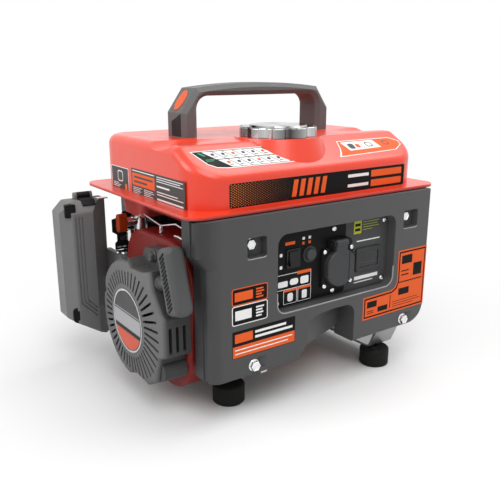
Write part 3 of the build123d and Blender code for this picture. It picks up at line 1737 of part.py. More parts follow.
# Ignition coil over the flywheel rim, on an arm from the crankcase spigot
with BuildPart() as ignition_coil:
    with BuildSketch(crank_plane(coil_left_x)):
        with Locations((0, coil_low + coil_height / 2)):
            Rectangle(2 * coil_height, coil_height)
            Rectangle(coil_arm, coil_height, mode=Mode.SUBTRACT)
        with Locations((0, coil_top)):
            Rectangle(2 * coil_arm, coil_arm)
    extrude(amount=coil_width)
    with BuildSketch(crank_plane(coil_left_x)):
        with Locations((0, coil_top)):
            Rectangle(coil_arm, coil_arm)
    extrude(amount=case_left_x - coil_left_x)
    with BuildSketch(crank_plane(case_left_x)):
        with Locations((0, (spigot_radius + coil_top) / 2)):
            Rectangle(coil_arm, coil_top - spigot_radius)
    extrude(amount=-coil_sheet)
ignition_coil.part.label = "ignition_coil"
export_step(ignition_coil.part, "parts/ignition_coil.step")

# Oil drain plug in the crankcase front
drain_face_y = case_front_y - drain_boss
with BuildPart() as drain_plug:
    with BuildSketch(front_plane(drain_face_y)):
        with Locations(drain_spot):
            Circle(drain_radius)
    extrude(amount=drain_washer)
    with BuildSketch(front_plane(drain_face_y - drain_washer)):
        with Locations(drain_spot):
            RegularPolygon(drain_hex / 2, 6, major_radius=False)
    extrude(amount=drain_head)
drain_plug.part.label = "oil_drain_plug"
export_step(drain_plug.part, "parts/oil_drain_plug.step")

# Oil dipstick: fluted knob on a plug that screws into the crankcase rear
dipstick_plane = front_plane(case_rear_y + slip)
with BuildPart() as oil_dipstick:
    with BuildSketch(dipstick_plane):
        with Locations(dipstick_spot):
            Circle(dipstick_radius)
            with PolarLocations(dipstick_radius + flute_radius / 2, dipstick_flutes):
                Circle(flute_radius, mode=Mode.SUBTRACT)
    extrude(amount=-dipstick_height)
    with BuildSketch(dipstick_plane):
        with Locations(dipstick_spot):
            Circle(dipstick_plug)
    extrude(amount=dipstick_depth)
oil_dipstick.part.label = "oil_dipstick"
export_step(oil_dipstick.part, "parts/oil_dipstick.step")

# Alternator: front frame, wound stator, rotor and end cover
with BuildPart() as alternator_frame:
    with BuildSketch(crank_plane(case_right_x)):
        Circle(alternator_radius)
        Circle(bearing_radius, mode=Mode.SUBTRACT)
    extrude(amount=stator_start_x - case_right_x)
    with BuildSketch(crank_plane(case_right_x + alternator_wall)):
        Circle(alternator_radius - alternator_wall - winding_inset)
    extrude(amount=stator_start_x - case_right_x, mode=Mode.SUBTRACT)
alternator_frame.part.label = "alternator_frame"
export_step(alternator_frame.part, "parts/alternator_frame.step")

with BuildPart() as stator:
    with BuildSketch(crank_plane(stator_start_x)):
        Circle(stator_outer)
        Circle(stator_inner, mode=Mode.SUBTRACT)
        with PolarLocations(stator_inner, stator_slots):
            Rectangle(2 * stator_slot_depth, stator_slot_width, mode=Mode.SUBTRACT)
    extrude(amount=stator_end_x - stator_start_x)
    for x, run in ((stator_start_x, -winding_length), (stator_end_x, winding_length)):
        with BuildSketch(crank_plane(x)):
            Circle(stator_inner + winding_inset + winding_depth)
            Circle(stator_inner + winding_inset, mode=Mode.SUBTRACT)
        extrude(amount=run)
stator.part.label = "wound_stator"
export_step(stator.part, "parts/wound_stator.step")

rotor_start_x = stator_start_x + rotor_step
rotor_length = stator_end_x - stator_start_x - 2 * rotor_step
with BuildPart() as rotor:
    with BuildSketch(crank_plane(rotor_start_x)):
        Circle(stator_inner - air_gap)
        Circle(shaft_radius + fit, mode=Mode.SUBTRACT)
        with Locations((0, stator_inner), (0, -stator_inner)):
            Rectangle(rotor_flat, 2 * rotor_flat_depth, mode=Mode.SUBTRACT)
    extrude(amount=rotor_length)
rotor.part.label = "rotor"
export_step(rotor.part, "parts/rotor.step")

cover_depth = alternator_end_x - stator_end_x
cover_cavity = alternator_radius - alternator_wall
with BuildPart() as alternator_cover:
    with BuildSketch(crank_plane(stator_end_x)):
        Circle(alternator_radius)
    extrude(amount=cover_depth)
    fillet(alternator_cover.edges().group_by(Axis.X)[-1], alternator_edge)
    with BuildSketch(Plane.XY.offset(rail_top)):
        with Locations((right_foot_x, crank_y)):
            Rectangle(alternator_foot_width, alternator_foot_depth)
    extrude(amount=crank_z - cover_cavity - rail_top)
    with BuildSketch(crank_plane(stator_end_x)):
        Circle(cover_cavity)
    extrude(amount=cover_depth - alternator_wall, mode=Mode.SUBTRACT)
    with BuildSketch(crank_plane(end_bearing_x)):
        Circle(bearing_radius + alternator_wall)
    extrude(amount=alternator_end_x - end_bearing_x)
    with BuildSketch(crank_plane(end_bearing_x)):
        Circle(bearing_radius)
    extrude(amount=bearing_width, mode=Mode.SUBTRACT)
    with BuildSketch(crank_plane(alternator_end_x)):
        with PolarLocations((cover_cavity + bearing_radius + alternator_wall) / 2, vent_slots):
            SlotOverall(vent_slot_length, vent_slot_width)
    extrude(amount=-alternator_wall, mode=Mode.SUBTRACT)
alternator_cover.part.label = "alternator_end_cover"
export_step(alternator_cover.part, "parts/alternator_end_cover.step")

# Silencer with its pipe from the head and its tail pipe
muffler_mid_x = (muffler_left_x + muffler_right_x) / 2
muffler_rear_y = muffler_y + muffler_width / 2
exhaust_spot = (exhaust_y, exhaust_z)
tailpipe_spot = (muffler_right_x - tailpipe_inset, muffler_z)
with BuildPart() as muffler:
    with BuildSketch(Plane.YZ.offset(muffler_left_x)):
        with Locations((muffler_y, muffler_z)):
            RectangleRounded(muffler_width, muffler_height, muffler_corner)
    extrude(amount=muffler_right_x - muffler_left_x)
    fillet(muffler.edges().group_by(Axis.X)[0], muffler_edge)
    fillet(muffler.edges().group_by(Axis.X)[-1], muffler_edge)
    with BuildSketch(Plane.YZ.offset(head_right_x)):
        with Locations(exhaust_spot):
            Circle(exhaust_radius)
    extrude(amount=muffler_left_x - head_right_x + muffler_edge)
    with BuildSketch(front_plane(muffler_rear_y)):
        with Locations(tailpipe_spot):
            Circle(tailpipe_radius)
    extrude(amount=-tailpipe_length)
    with BuildSketch(front_plane(muffler_rear_y + tailpipe_length)):
        with Locations(tailpipe_spot):
            Circle(tailpipe_radius - tailpipe_wall)
    extrude(amount=tailpipe_length, mode=Mode.SUBTRACT)
muffler.part.label = "muffler"
export_step(muffler.part, "parts/muffler.step")

# Slotted guard on four posts behind the silencer
with BuildPart() as muffler_guard:
    with BuildSketch(front_plane(muffler_rear_y + guard_gap)):
        with Locations((muffler_mid_x, muffler_z)):
            RectangleRounded(guard_width, guard_height, guard_corner)
        with Locations((muffler_mid_x - vent_pitch, muffler_z)):
            with GridLocations(vent_pitch, guard_post_z, guard_columns, guard_rows):
                SlotOverall(guard_slot_length, guard_slot_width, rotation=90, mode=Mode.SUBTRACT)
        with Locations(tailpipe_spot):
            Circle(tailpipe_radius + guard_slot_width, mode=Mode.SUBTRACT)
    extrude(amount=-guard_sheet)
    with BuildSketch(front_plane(muffler_rear_y)):
        with Locations((muffler_mid_x, muffler_z)):
            with GridLocations(2 * guard_post_x, 2 * guard_post_z, 2, 2):
                Circle(guard_post)
    extrude(amount=-guard_gap)
muffler_guard.part.label = "muffler_guard"
export_step(muffler_guard.part, "parts/muffler_guard.step")

# Heat spacer between the head and the carburettor
carb_spot = (carb_y, carb_z)
carb_right_x = head_left_x - spacer_length
carb_left_x = carb_right_x - carb_length
carb_mid_x = (carb_right_x + carb_left_x) / 2
with BuildPart() as intake_spacer:
    with BuildSketch(Plane.YZ.offset(head_left_x)):
        with Locations(carb_spot):
            RectangleRounded(carb_flange_width, carb_flange_height, case_round)
    extrude(amount=-spacer_length)
intake_spacer.part.label = "intake_spacer"
export_step(intake_spacer.part, "parts/intake_spacer.step")

# Carburettor with its float bowl and fuel inlet
carb_top_z = carb_z + carb_radius + carb_top
with BuildPart() as carburettor:
    with BuildSketch(Plane.XY.offset(carb_z - bowl_drop)):
        with Locations((carb_mid_x, carb_y)):
            Circle(bowl_radius)
    extrude(amount=bowl_drop)
    fillet(carburettor.edges().group_by(Axis.Z)[0], bowl_round)
    with BuildSketch(Plane.YZ.offset(carb_right_x)):
        with Locations(carb_spot):
            Circle(carb_radius)
    extrude(amount=-carb_length)
    with BuildSketch(Plane.YZ.offset(carb_right_x)):
        with Locations(carb_spot):
            RectangleRounded(carb_flange_width, carb_flange_height, case_round)
    extrude(amount=-carb_flange_sheet)
    with BuildSketch(Plane.XY.offset(carb_z)):
        with Locations((carb_mid_x, carb_y)):
            Circle(carb_top_radius)
    extrude(amount=carb_top_z - carb_z)
    with BuildSketch(front_plane(carb_y)):
        with Locations((carb_mid_x, carb_z)):
            Circle(hose_radius)
    extrude(amount=carb_radius + inlet_length)
    with BuildSketch(Plane.XY.offset(carb_top_z)):
        with Locations((carb_mid_x, carb_y)):
            Circle(choke_pin + fit)
    extrude(amount=-choke_pin_length - slip, mode=Mode.SUBTRACT)
carburettor.part.label = "carburettor"
export_step(carburettor.part, "parts/carburettor.step")

# Choke lever on a pin in the carburettor's top, pointing to the filter
choke_z = carb_top_z + slip
with BuildPart() as choke_lever:
    with BuildSketch(Plane.XY.offset(choke_z)):
        with Locations((carb_mid_x, carb_y)):
            Circle(choke_width)
        with Locations((carb_mid_x - choke_reach / 2, carb_y)):
            Rectangle(choke_reach, choke_width)
        with Locations((carb_mid_x - choke_reach, carb_y)):
            Circle(choke_tip)
    extrude(amount=choke_sheet)
    with BuildSketch(Plane.XY.offset(choke_z)):
        with Locations((carb_mid_x, carb_y)):
            Circle(choke_pin)
    extrude(amount=-choke_pin_length)
choke_lever.part.label = "choke_lever"
export_step(choke_lever.part, "parts/choke_lever.step")


def filter_form(inset, start_y, front_y):
    """Air filter box from start_y to front_y, drawn in by inset, with three bevelled front edges."""
    shift = inset * 2**0.5
    right_reach = filter_bevel + shift + wedge_room
    side_reach = filter_side_bevel + shift + wedge_room
    near_y = filter_face_y - wedge_room
    left_x = filter_left_x - wedge_room
    right_x = filter_right_x + wedge_room
    high_z = filter_top_z + wedge_room
    low_z = filter_low_right_z - wedge_room
    with BuildPart() as form:
        with BuildSketch(front_plane(start_y)) as outline:
            with BuildLine():
                Polyline(
                    (filter_left_x + filter_chamfer, filter_top_z),
                    (filter_left_x, filter_top_z - filter_chamfer),
                    (filter_left_x, filter_low_left_z),
                    (filter_right_x - filter_low_flat, filter_low_right_z),
                    (filter_right_x, filter_low_right_z),
                    (filter_right_x, filter_top_z),
                    close=True,
                )
            make_face()
            fillet(outline.vertices(), filter_corner)
            if inset > 0:
                offset(amount=-inset)
        extrude(amount=start_y - front_y)
        with BuildSketch(Plane.XY.offset(low_z)):
            with BuildLine():
                Polyline(
                    (right_x - wedge_room - right_reach, near_y),
                    (right_x, near_y),
                    (right_x, near_y + wedge_room + right_reach),
                    close=True,
                )
            make_face()
            with BuildLine():
                Polyline(
                    (left_x + wedge_room + side_reach, near_y),
                    (left_x, near_y + wedge_room + side_reach),
                    (left_x, near_y),
                    close=True,
                )
            make_face()
        extrude(amount=high_z - low_z, mode=Mode.SUBTRACT)
        with BuildSketch(Plane.YZ.offset(left_x)):
            with BuildLine():
                Polyline(
                    (near_y, high_z),
                    (near_y, high_z - wedge_room - side_reach),
                    (near_y + wedge_room + side_reach, high_z),
                    close=True,
                )
            make_face()
        extrude(amount=right_x - left_x, mode=Mode.SUBTRACT)
    return form.part


# Air filter base with the duct to the carburettor and the two clip ears
clip_mid_x = filter_right_x - clip_inset
clip_axis_z = filter_top_z + clip_radius + slip
ear_offset = clip_width / 2 + slip + ear_sheet / 2
with BuildPart() as filter_base:
    add(filter_form(0, filter_back_y, filter_split_y))
    add(filter_form(filter_wall, filter_back_y - filter_wall, filter_split_y), mode=Mode.SUBTRACT)
    with BuildSketch(Plane.YZ.offset(filter_right_x)):
        with Locations(((duct_front_y + filter_back_y) / 2, carb_z)):
            RectangleRounded(filter_back_y - duct_front_y, duct_height, duct_corner)
    extrude(amount=carb_left_x - filter_right_x)
    for side in (-1, 1):
        with BuildSketch(Plane.YZ.offset(clip_mid_x + side * ear_offset - ear_sheet / 2)):
            with Locations((clip_axis_y, (filter_top_z + clip_axis_z) / 2)):
                Rectangle(2 * clip_radius, clip_axis_z - filter_top_z)
            with Locations((clip_axis_y, clip_axis_z)):
                Circle(clip_radius)
        extrude(amount=ear_sheet)
    with BuildSketch(Plane.YZ.offset(clip_mid_x - ear_offset)):
        with Locations((clip_axis_y, clip_axis_z)):
            Circle(clip_pin)
    extrude(amount=2 * ear_offset)
filter_base.part.label = "air_filter_base"
export_step(filter_base.part, "parts/air_filter_base.step")

# Air filter cover with its grooved, bevelled face
cover_floor_y = filter_face_y + filter_wall + groove_depth
with BuildPart() as filter_cover:
    add(filter_form(0, filter_split_y, filter_face_y))
    add(filter_form(filter_wall, filter_split_y, cover_floor_y), mode=Mode.SUBTRACT)
    rim = filter_cover.faces().sort_by(Axis.Y)[0].edges().filter_by(
        lambda edge: edge.bounding_box().min.X < filter_right_x - filter_bevel - slip
    )
    chamfer(rim, filter_edge)
    for i in range(groove_count):
        groove_x = filter_left_x + groove_inset + i * groove_pitch
        knee_z = groove_knee_z + i * groove_step
        end_z = knee_z - groove_slope * (groove_end_x - groove_x)
        with BuildSketch(front_plane(filter_face_y)):
            with BuildLine() as groove:
                FilletPolyline(
                    (groove_x, filter_top_z - groove_top),
                    (groove_x, knee_z),
                    (groove_end_x, end_z),
                    radius=groove_bend,
                )
            trace(groove.line, line_width=groove_width)
        extrude(amount=-groove_depth, mode=Mode.SUBTRACT)
filter_cover.part.label = "air_filter_cover"
export_step(filter_cover.part, "parts/air_filter_cover.step")

# Foam element inside the filter box
with BuildPart() as filter_element:
    add(filter_form(filter_wall + slip, filter_back_y - filter_wall, cover_floor_y + slip))
filter_element.part.label = "air_filter_element"
export_step(filter_element.part, "parts/air_filter_element.step")

# Clip that hinges on the base's ears and hooks over the cover's bevel
clip_strip_z = filter_top_z + slip + clip_sheet / 2
clip_bend_y = filter_face_y + filter_side_bevel - (slip + clip_sheet / 2) * tan(pi / 8)
with BuildPart() as filter_clip:
    with BuildSketch(Plane.YZ.offset(clip_mid_x - clip_width / 2)):
        with BuildLine() as strip:
            FilletPolyline(
                (clip_axis_y, clip_strip_z),
                (clip_bend_y, clip_strip_z),
                (clip_bend_y - clip_lip, clip_strip_z - clip_lip),
                radius=clip_sheet,
            )
        trace(strip.line, line_width=clip_sheet)
        with Locations((clip_axis_y, clip_axis_z)):
            Circle(clip_radius)
            Circle(clip_pin + fit, mode=Mode.SUBTRACT)
    extrude(amount=clip_width)
filter_clip.part.label = "air_filter_clip"
export_step(filter_clip.part, "parts/air_filter_clip.step")

# Fuel valve under the sump
sump_floor = seam_z - sump_drop
with BuildPart() as fuel_valve:
    with BuildSketch(Plane.XY.offset(sump_floor)):
        with Locations((valve_x, sump_y)):
            Circle(valve_radius)
    extrude(amount=-valve_height)
    with BuildSketch(Plane.XY.offset(sump_floor)):
        with Locations((valve_x, sump_y)):
            RegularPolygon(valve_nut / 2, 6, major_radius=False)
    extrude(amount=-valve_nut_height)
    with BuildSketch(Plane.YZ.offset(valve_x)):
        with Locations((sump_y, lever_z)):
            Circle(valve_boss)
    extrude(amount=lever_x + slip - valve_x)
    with BuildSketch(Plane.YZ.offset(lever_x)):
        with Locations((sump_y, lever_z)):
            Circle(lever_pin + fit)
    extrude(amount=lever_pin_length + slip, mode=Mode.SUBTRACT)
fuel_valve.part.label = "fuel_valve"
export_step(fuel_valve.part, "parts/fuel_valve.step")

# Red lever of the fuel valve
with BuildPart() as valve_lever:
    with BuildSketch(Plane.YZ.offset(lever_x)):
        with Locations((sump_y, lever_z)):
            SlotOverall(lever_length, lever_width, rotation=90)
    extrude(amount=-lever_thickness)
    fillet(valve_lever.edges().group_by(Axis.X)[0], lever_edge)
    with BuildSketch(Plane.YZ.offset(lever_x)):
        with Locations((sump_y, lever_z)):
            Circle(lever_pin)
    extrude(amount=lever_pin_length)
valve_lever.part.label = "fuel_valve_lever"
export_step(valve_lever.part, "parts/fuel_valve_lever.step")

# Fuel hose from the valve down to the carburettor's inlet
hose_top = sump_floor - valve_height
with BuildPart() as fuel_hose:
    with BuildLine():
        FilletPolyline(
            (valve_x, sump_y, hose_top),
            (valve_x, sump_y, carb_z),
            (valve_x, carb_y - carb_radius - inlet_length, carb_z),
            radius=hose_bend,
        )
    with BuildSketch(Plane(origin=(valve_x, sump_y, hose_top), z_dir=(0, 0, -1))):
        Circle(hose_radius)
    sweep()
fuel_hose.part.label = "fuel_hose"
export_step(fuel_hose.part, "parts/fuel_hose.step")
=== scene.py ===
import math

import bmesh
import bpy
from mathutils import Matrix, Vector


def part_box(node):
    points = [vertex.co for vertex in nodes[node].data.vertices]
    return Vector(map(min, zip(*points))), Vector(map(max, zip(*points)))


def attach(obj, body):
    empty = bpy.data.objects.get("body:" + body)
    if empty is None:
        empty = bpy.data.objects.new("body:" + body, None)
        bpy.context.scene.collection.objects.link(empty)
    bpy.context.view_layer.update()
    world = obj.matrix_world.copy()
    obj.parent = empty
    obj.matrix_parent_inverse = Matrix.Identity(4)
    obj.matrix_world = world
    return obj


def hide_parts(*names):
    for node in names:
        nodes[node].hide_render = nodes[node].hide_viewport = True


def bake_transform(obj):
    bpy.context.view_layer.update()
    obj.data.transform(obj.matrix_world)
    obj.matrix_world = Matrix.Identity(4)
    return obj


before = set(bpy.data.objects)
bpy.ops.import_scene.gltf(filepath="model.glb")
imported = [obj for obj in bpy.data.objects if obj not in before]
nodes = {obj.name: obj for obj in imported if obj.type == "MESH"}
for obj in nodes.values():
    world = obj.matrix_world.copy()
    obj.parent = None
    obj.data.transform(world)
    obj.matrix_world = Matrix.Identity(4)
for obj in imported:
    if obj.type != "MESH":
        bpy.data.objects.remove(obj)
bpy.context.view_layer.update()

mm = 0.001
right = Vector((1, 0, 0))
rear = Vector((0, 1, 0))
up = Vector((0, 0, 1))

# Tank, handle and covers, in millimetres
tank_front_y = -116
tank_side_x = -134
slope_low = (-116, 258)
slope_high = (-70, 284)
handle_middle = (22, 15)
handle_half = 107
cover_face_y = -136.5
bolt_columns = (-83.5, 140.5)
upper_bolt_z = 190.3
lower_bolt_z = 62
pocket_depth = 9
pocket_corner = 3
pocket_reach = (-7.5, -14, 16.5, 8)
recess = (-53, 109.5, 120, 196)
recess_corner = 12

# Control plate, in millimetres
plate_face_y = -124.5
plate_screw_columns = (-45.5, 33.5, 112.5)
plate_screw_rows = (117, 188.5)
socket_middle = (38.6, -127.5, 144.8)
socket_screw_reach = 19.75
socket_screw_size = 0.875
meter_card = (87.6, -124.9, 145.7)

# Recoil starter and its cord, in millimetres
crank_y = -17
crank_z = 91.5
badge_face_x = -168.9
lug_seat_x = -150
blower_seat_x = -136
front_lugs = ((-34, 79), (62, 22))
low_lug = (-67, -35.5)
rope_start = Vector((-157, -5.9, 127.8))
rope_angle = math.radians(17)
rope_way = Vector((0, -math.cos(rope_angle), math.sin(rope_angle)))
rope_run = 71
rope_radius = 1.9
cord_strands = 3
cord_turns = 9
grip_centre = Vector((-157, -108.7, 159.3))
grip_half_width = 10

# Fittings by the carburettor and the air filter, in millimetres
fitting_y = 101
bracket_tab_y = 105.2
strap_foot_z = 205.8

# Thickness of the printed sheets, in millimetres
print_foot = -0.02
print_height = 0.12
print_step = 0.05

# Camera
camera_place = Vector((-433.5, -626.5, 355.0)) * mm
camera_way = Vector((0.555, 0.787, -0.2706))
camera_lens = 45.7


def set_values(node, values):
    """Set a node's inputs by name."""
    for name, value in values.items():
        node.inputs[name].default_value = value


# Camera, floor and light
def set_camera():
    data = bpy.data.cameras.new("camera")
    data.lens = camera_lens
    data.sensor_width = 36
    data.clip_start = 0.01
    camera = bpy.data.objects.new("camera", data)
    camera.location = camera_place
    camera.rotation_euler = camera_way.to_track_quat("-Z", "Y").to_euler()
    bpy.context.collection.objects.link(camera)
    bpy.context.scene.camera = camera


def seen_rays(tree):
    """One for the rays that show the background: those of the camera, of gloss and of clear plastic."""
    path = tree.nodes.new("ShaderNodeLightPath")
    clear = tree.nodes.new("ShaderNodeMath")
    clear.operation = "MAXIMUM"
    seen = tree.nodes.new("ShaderNodeMath")
    seen.operation = "MAXIMUM"
    tree.links.new(path.outputs["Is Glossy Ray"], clear.inputs[0])
    tree.links.new(path.outputs["Is Transmission Ray"], clear.inputs[1])
    tree.links.new(path.outputs["Is Camera Ray"], seen.inputs[0])
    tree.links.new(clear.outputs[0], seen.inputs[1])
    return seen.outputs[0]


def set_world():
    """White behind the object, and an even dome of softer light round it."""
    world = bpy.data.worlds.new("studio")
    bpy.context.scene.world = world
    world.use_nodes = True
    tree = world.node_tree
    tree.nodes.clear()
    out = tree.nodes.new("ShaderNodeOutputWorld")
    mix = tree.nodes.new("ShaderNodeMixShader")
    dome = tree.nodes.new("ShaderNodeBackground")
    white = tree.nodes.new("ShaderNodeBackground")
    set_values(dome, {"Color": (1, 1, 1, 1), "Strength": 0.42})
    set_values(white, {"Color": (1, 1, 1, 1), "Strength": 1.0})
    tree.links.new(seen_rays(tree), mix.inputs["Fac"])
    tree.links.new(dome.outputs[0], mix.inputs[1])
    tree.links.new(white.outputs[0], mix.inputs[2])
    tree.links.new(mix.outputs[0], out.inputs["Surface"])


def add_lamp(name, place, aim, size, power):
    data = bpy.data.lights.new(name, "AREA")
    data.shape = "DISK"
    data.size = size
    data.energy = power
    lamp = bpy.data.objects.new(name, data)
    lamp.location = place
    lamp.rotation_euler = (Vector(aim) - Vector(place)).to_track_quat("-Z", "Y").to_euler()
    bpy.context.collection.objects.link(lamp)


def new_object(name, shape):
    """Object at the origin with the shape as its mesh."""
    mesh = bpy.data.meshes.new(name)
    shape.to_mesh(mesh)
    shape.free()
    made = bpy.data.objects.new(name, mesh)
    bpy.context.collection.objects.link(made)
    return made


def add_floor():
    """Pale floor that keeps the shadow near the object and fades to white round it."""
    sheet = bmesh.new()
    bmesh.ops.create_circle(sheet, cap_ends=True, segments=96, radius=6)
    floor = new_object("floor", sheet)
    material = bpy.data.materials.new("floor")
    material.use_nodes = True
    tree = material.node_tree
    tree.nodes.clear()
    out = tree.nodes.new("ShaderNodeOutputMaterial")
    mix = tree.nodes.new("ShaderNodeMixShader")
    pale = tree.nodes.new("ShaderNodeBsdfDiffuse")
    set_values(pale, {"Color": (0.82, 0.82, 0.82, 1)})
    white = tree.nodes.new("ShaderNodeEmission")
    set_values(white, {"Color": (1, 1, 1, 1), "Strength": 1.0})
    where = tree.nodes.new("ShaderNodeTexCoord")
    reach = tree.nodes.new("ShaderNodeVectorMath")
    reach.operation = "LENGTH"
    fade = tree.nodes.new("ShaderNodeMapRange")
    fade.interpolation_type = "SMOOTHSTEP"
    set_values(fade, {"From Min": 0.22, "From Max": 0.55})
    both = tree.nodes.new("ShaderNodeMath")
    both.operation = "MULTIPLY"
    tree.links.new(where.outputs["Object"], reach.inputs[0])
    tree.links.new(reach.outputs["Value"], fade.inputs["Value"])
    tree.links.new(fade.outputs["Result"], both.inputs[0])
    tree.links.new(seen_rays(tree), both.inputs[1])
    tree.links.new(both.outputs[0], mix.inputs["Fac"])
    tree.links.new(pale.outputs[0], mix.inputs[1])
    tree.links.new(white.outputs[0], mix.inputs[2])
    tree.links.new(mix.outputs[0], out.inputs["Surface"])
    floor.data.materials.append(material)


# Finishes
def finish(name, colour, rough, metal=0.0, grain=0, bump=0.0, mottle=0.12, coat=0.0, spread=0.1, shine=0.5):
    """A finish whose colour, gloss and fine relief follow noise in the object's own space."""
    material = bpy.data.materials.new(name)
    material.use_nodes = True
    tree = material.node_tree
    shader = tree.nodes["Principled BSDF"]
    set_values(shader, {"Metallic": metal, "Specular IOR Level": shine})
    set_values(shader, {"Coat Weight": coat, "Coat Roughness": 0.2})
    where = tree.nodes.new("ShaderNodeTexCoord")
    cloud = tree.nodes.new("ShaderNodeTexNoise")
    set_values(cloud, {"Scale": 45, "Detail": 4})
    tint = tree.nodes.new("ShaderNodeMix")
    tint.data_type = "RGBA"
    tint.inputs["A"].default_value = (*[c * (1 - mottle) for c in colour], 1)
    tint.inputs["B"].default_value = (*[min(1, c * (1 + mottle)) for c in colour], 1)
    gloss = tree.nodes.new("ShaderNodeMapRange")
    set_values(gloss, {"From Min": 0.3, "From Max": 0.7})
    set_values(gloss, {"To Min": max(0.02, rough - spread), "To Max": min(1, rough + spread)})
    tree.links.new(where.outputs["Object"], cloud.inputs["Vector"])
    tree.links.new(cloud.outputs["Fac"], tint.inputs["Factor"])
    tree.links.new(tint.outputs["Result"], shader.inputs["Base Color"])
    tree.links.new(cloud.outputs["Fac"], gloss.inputs["Value"])
    tree.links.new(gloss.outputs["Result"], shader.inputs["Roughness"])
    if grain:
        pits = tree.nodes.new("ShaderNodeTexNoise")
        set_values(pits, {"Scale": grain, "Detail": 3})
        relief = tree.nodes.new("ShaderNodeBump")
        set_values(relief, {"Strength": bump, "Distance": 0.0004})
        tree.links.new(where.outputs["Object"], pits.inputs["Vector"])
        tree.links.new(pits.outputs["Fac"], relief.inputs["Height"])
        tree.links.new(relief.outputs["Normal"], shader.inputs["Normal"])
    return material


def moulded(name, colour, rough, bump=0.2, mottle=0.06, shine=0.2):
    """Moulded plastic with a fine leathery grain."""
    return finish(name, colour, rough, grain=2600, bump=bump, mottle=mottle, shine=shine)


def printed(name, colour, rough=0.4, mottle=0.12, shine=0.12):
    """Ink on a smooth sheet."""
    return finish(name, colour, rough, grain=1200, bump=0.02, mottle=mottle, shine=shine)


def paint_light_across(material, axis, start, end, low, high):
    """Paint light and shade into the finish: scale its colour along one axis of the object, between two
    places in millimetres.
    """
    tree = material.node_tree
    colour = tree.nodes["Principled BSDF"].inputs["Base Color"]
    plain = colour.links[0].from_socket
    where = tree.nodes.new("ShaderNodeTexCoord")
    split = tree.nodes.new("ShaderNodeSeparateXYZ")
    fade = tree.nodes.new("ShaderNodeMapRange")
    set_values(fade, {"From Min": start * mm, "From Max": end * mm, "To Min": low, "To Max": high})
    tone = tree.nodes.new("ShaderNodeVectorMath")
    tone.operation = "SCALE"
    tree.links.new(where.outputs["Object"], split.inputs["Vector"])
    tree.links.new(split.outputs[axis], fade.inputs["Value"])
    tree.links.new(plain, tone.inputs[0])
    tree.links.new(fade.outputs["Result"], tone.inputs["Scale"])
    tree.links.new(tone.outputs["Vector"], colour)


def cap_painted_reflections():
    """Chrome with painted reflections: its colour falls into darker and lighter bands round the cap."""
    material = finish("cap_chrome_painted_reflections", (0.62, 0.62, 0.63), 0.12, metal=1.0, mottle=0.04, spread=0.05)
    tree = material.node_tree
    shader = tree.nodes["Principled BSDF"]
    where = tree.nodes.new("ShaderNodeTexCoord")
    shift = tree.nodes.new("ShaderNodeVectorMath")
    shift.operation = "SUBTRACT"
    low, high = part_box("fuel_cap")
    middle = (Vector(low) + Vector(high)) / 2
    shift.inputs[1].default_value = nodes["fuel_cap"].matrix_world.inverted() @ middle
    rays = tree.nodes.new("ShaderNodeTexGradient")
    rays.gradient_type = "RADIAL"
    bands = tree.nodes.new("ShaderNodeValToRGB")
    ramp = bands.color_ramp.elements
    ends = ((ramp[0], 0.0), (ramp[1], 1.0))
    for stop, place in ends:
        stop.position = place
        stop.color = (0.10, 0.10, 0.10, 1)
    between = ((0.09, 0.55), (0.2, 0.05), (0.3, 0.6), (0.42, 0.07), (0.55, 0.6), (0.7, 0.05), (0.85, 0.5))
    for place, shade in between:
        ramp.new(place).color = (shade, shade, shade, 1)
    tree.links.new(where.outputs["Object"], shift.inputs[0])
    tree.links.new(shift.outputs["Vector"], rays.inputs["Vector"])
    tree.links.new(rays.outputs["Fac"], bands.inputs["Fac"])
    tree.links.new(bands.outputs["Color"], shader.inputs["Base Color"])
    return material


def window_finish():
    """Smoked clear plastic over the meter."""
    material = finish("smoked_window", (0.05, 0.05, 0.055), 0.08, spread=0.03)
    shader = material.node_tree.nodes["Principled BSDF"]
    set_values(shader, {"Transmission Weight": 0.75, "IOR": 1.45})
    return material


tank_paint = {"grain": 900, "bump": 0.01, "mottle": 0.03, "coat": 0.5, "spread": 0.05}
tank_red = finish("tank_red", (0.72, 0.033, 0.004), 0.36, **tank_paint)
# Painted shade: the pan and the blower get darker copies of the tank's red, standing in for the shade under
# the tank's overhang
pan_red_painted_shade = finish("pan_red_painted_shade", (0.42, 0.05, 0.042), 0.4, grain=900, bump=0.02, mottle=0.06, shine=0.3)
blower_red_painted_shade = finish("blower_red_painted_shade", (0.17, 0.009, 0.006), 0.42, grain=900, bump=0.03, mottle=0.08, shine=0.25)
lever_red = finish("lever_red", (0.30, 0.034, 0.005), 0.35, grain=900, bump=0.06, shine=0.25)
trim_paint = {"grain": 1800, "bump": 0.08, "mottle": 0.05, "shine": 0.2}
trim_orange = finish("trim_orange", (0.68, 0.115, 0.038), 0.42, **trim_paint)
cover_grey = moulded("cover_grey", (0.075, 0.075, 0.077), 0.46, bump=0.22, shine=0.22)
recoil_grey = moulded("recoil_grey", (0.118, 0.118, 0.117), 0.46)
grip_grey = moulded("grip_grey", (0.072, 0.073, 0.073), 0.44, shine=0.25)
filter_grey = moulded("filter_grey", (0.155, 0.156, 0.157), 0.46, shine=0.22)
handle_grey = moulded("handle_grey", (0.125, 0.125, 0.124), 0.46, bump=0.22, shine=0.15)
# Painted shade: near black for the shadowed outer sides of the handle's legs
handle_painted_shade = moulded("handle_painted_shade", (0.016, 0.0155, 0.015), 0.5, bump=0.22, shine=0.15)
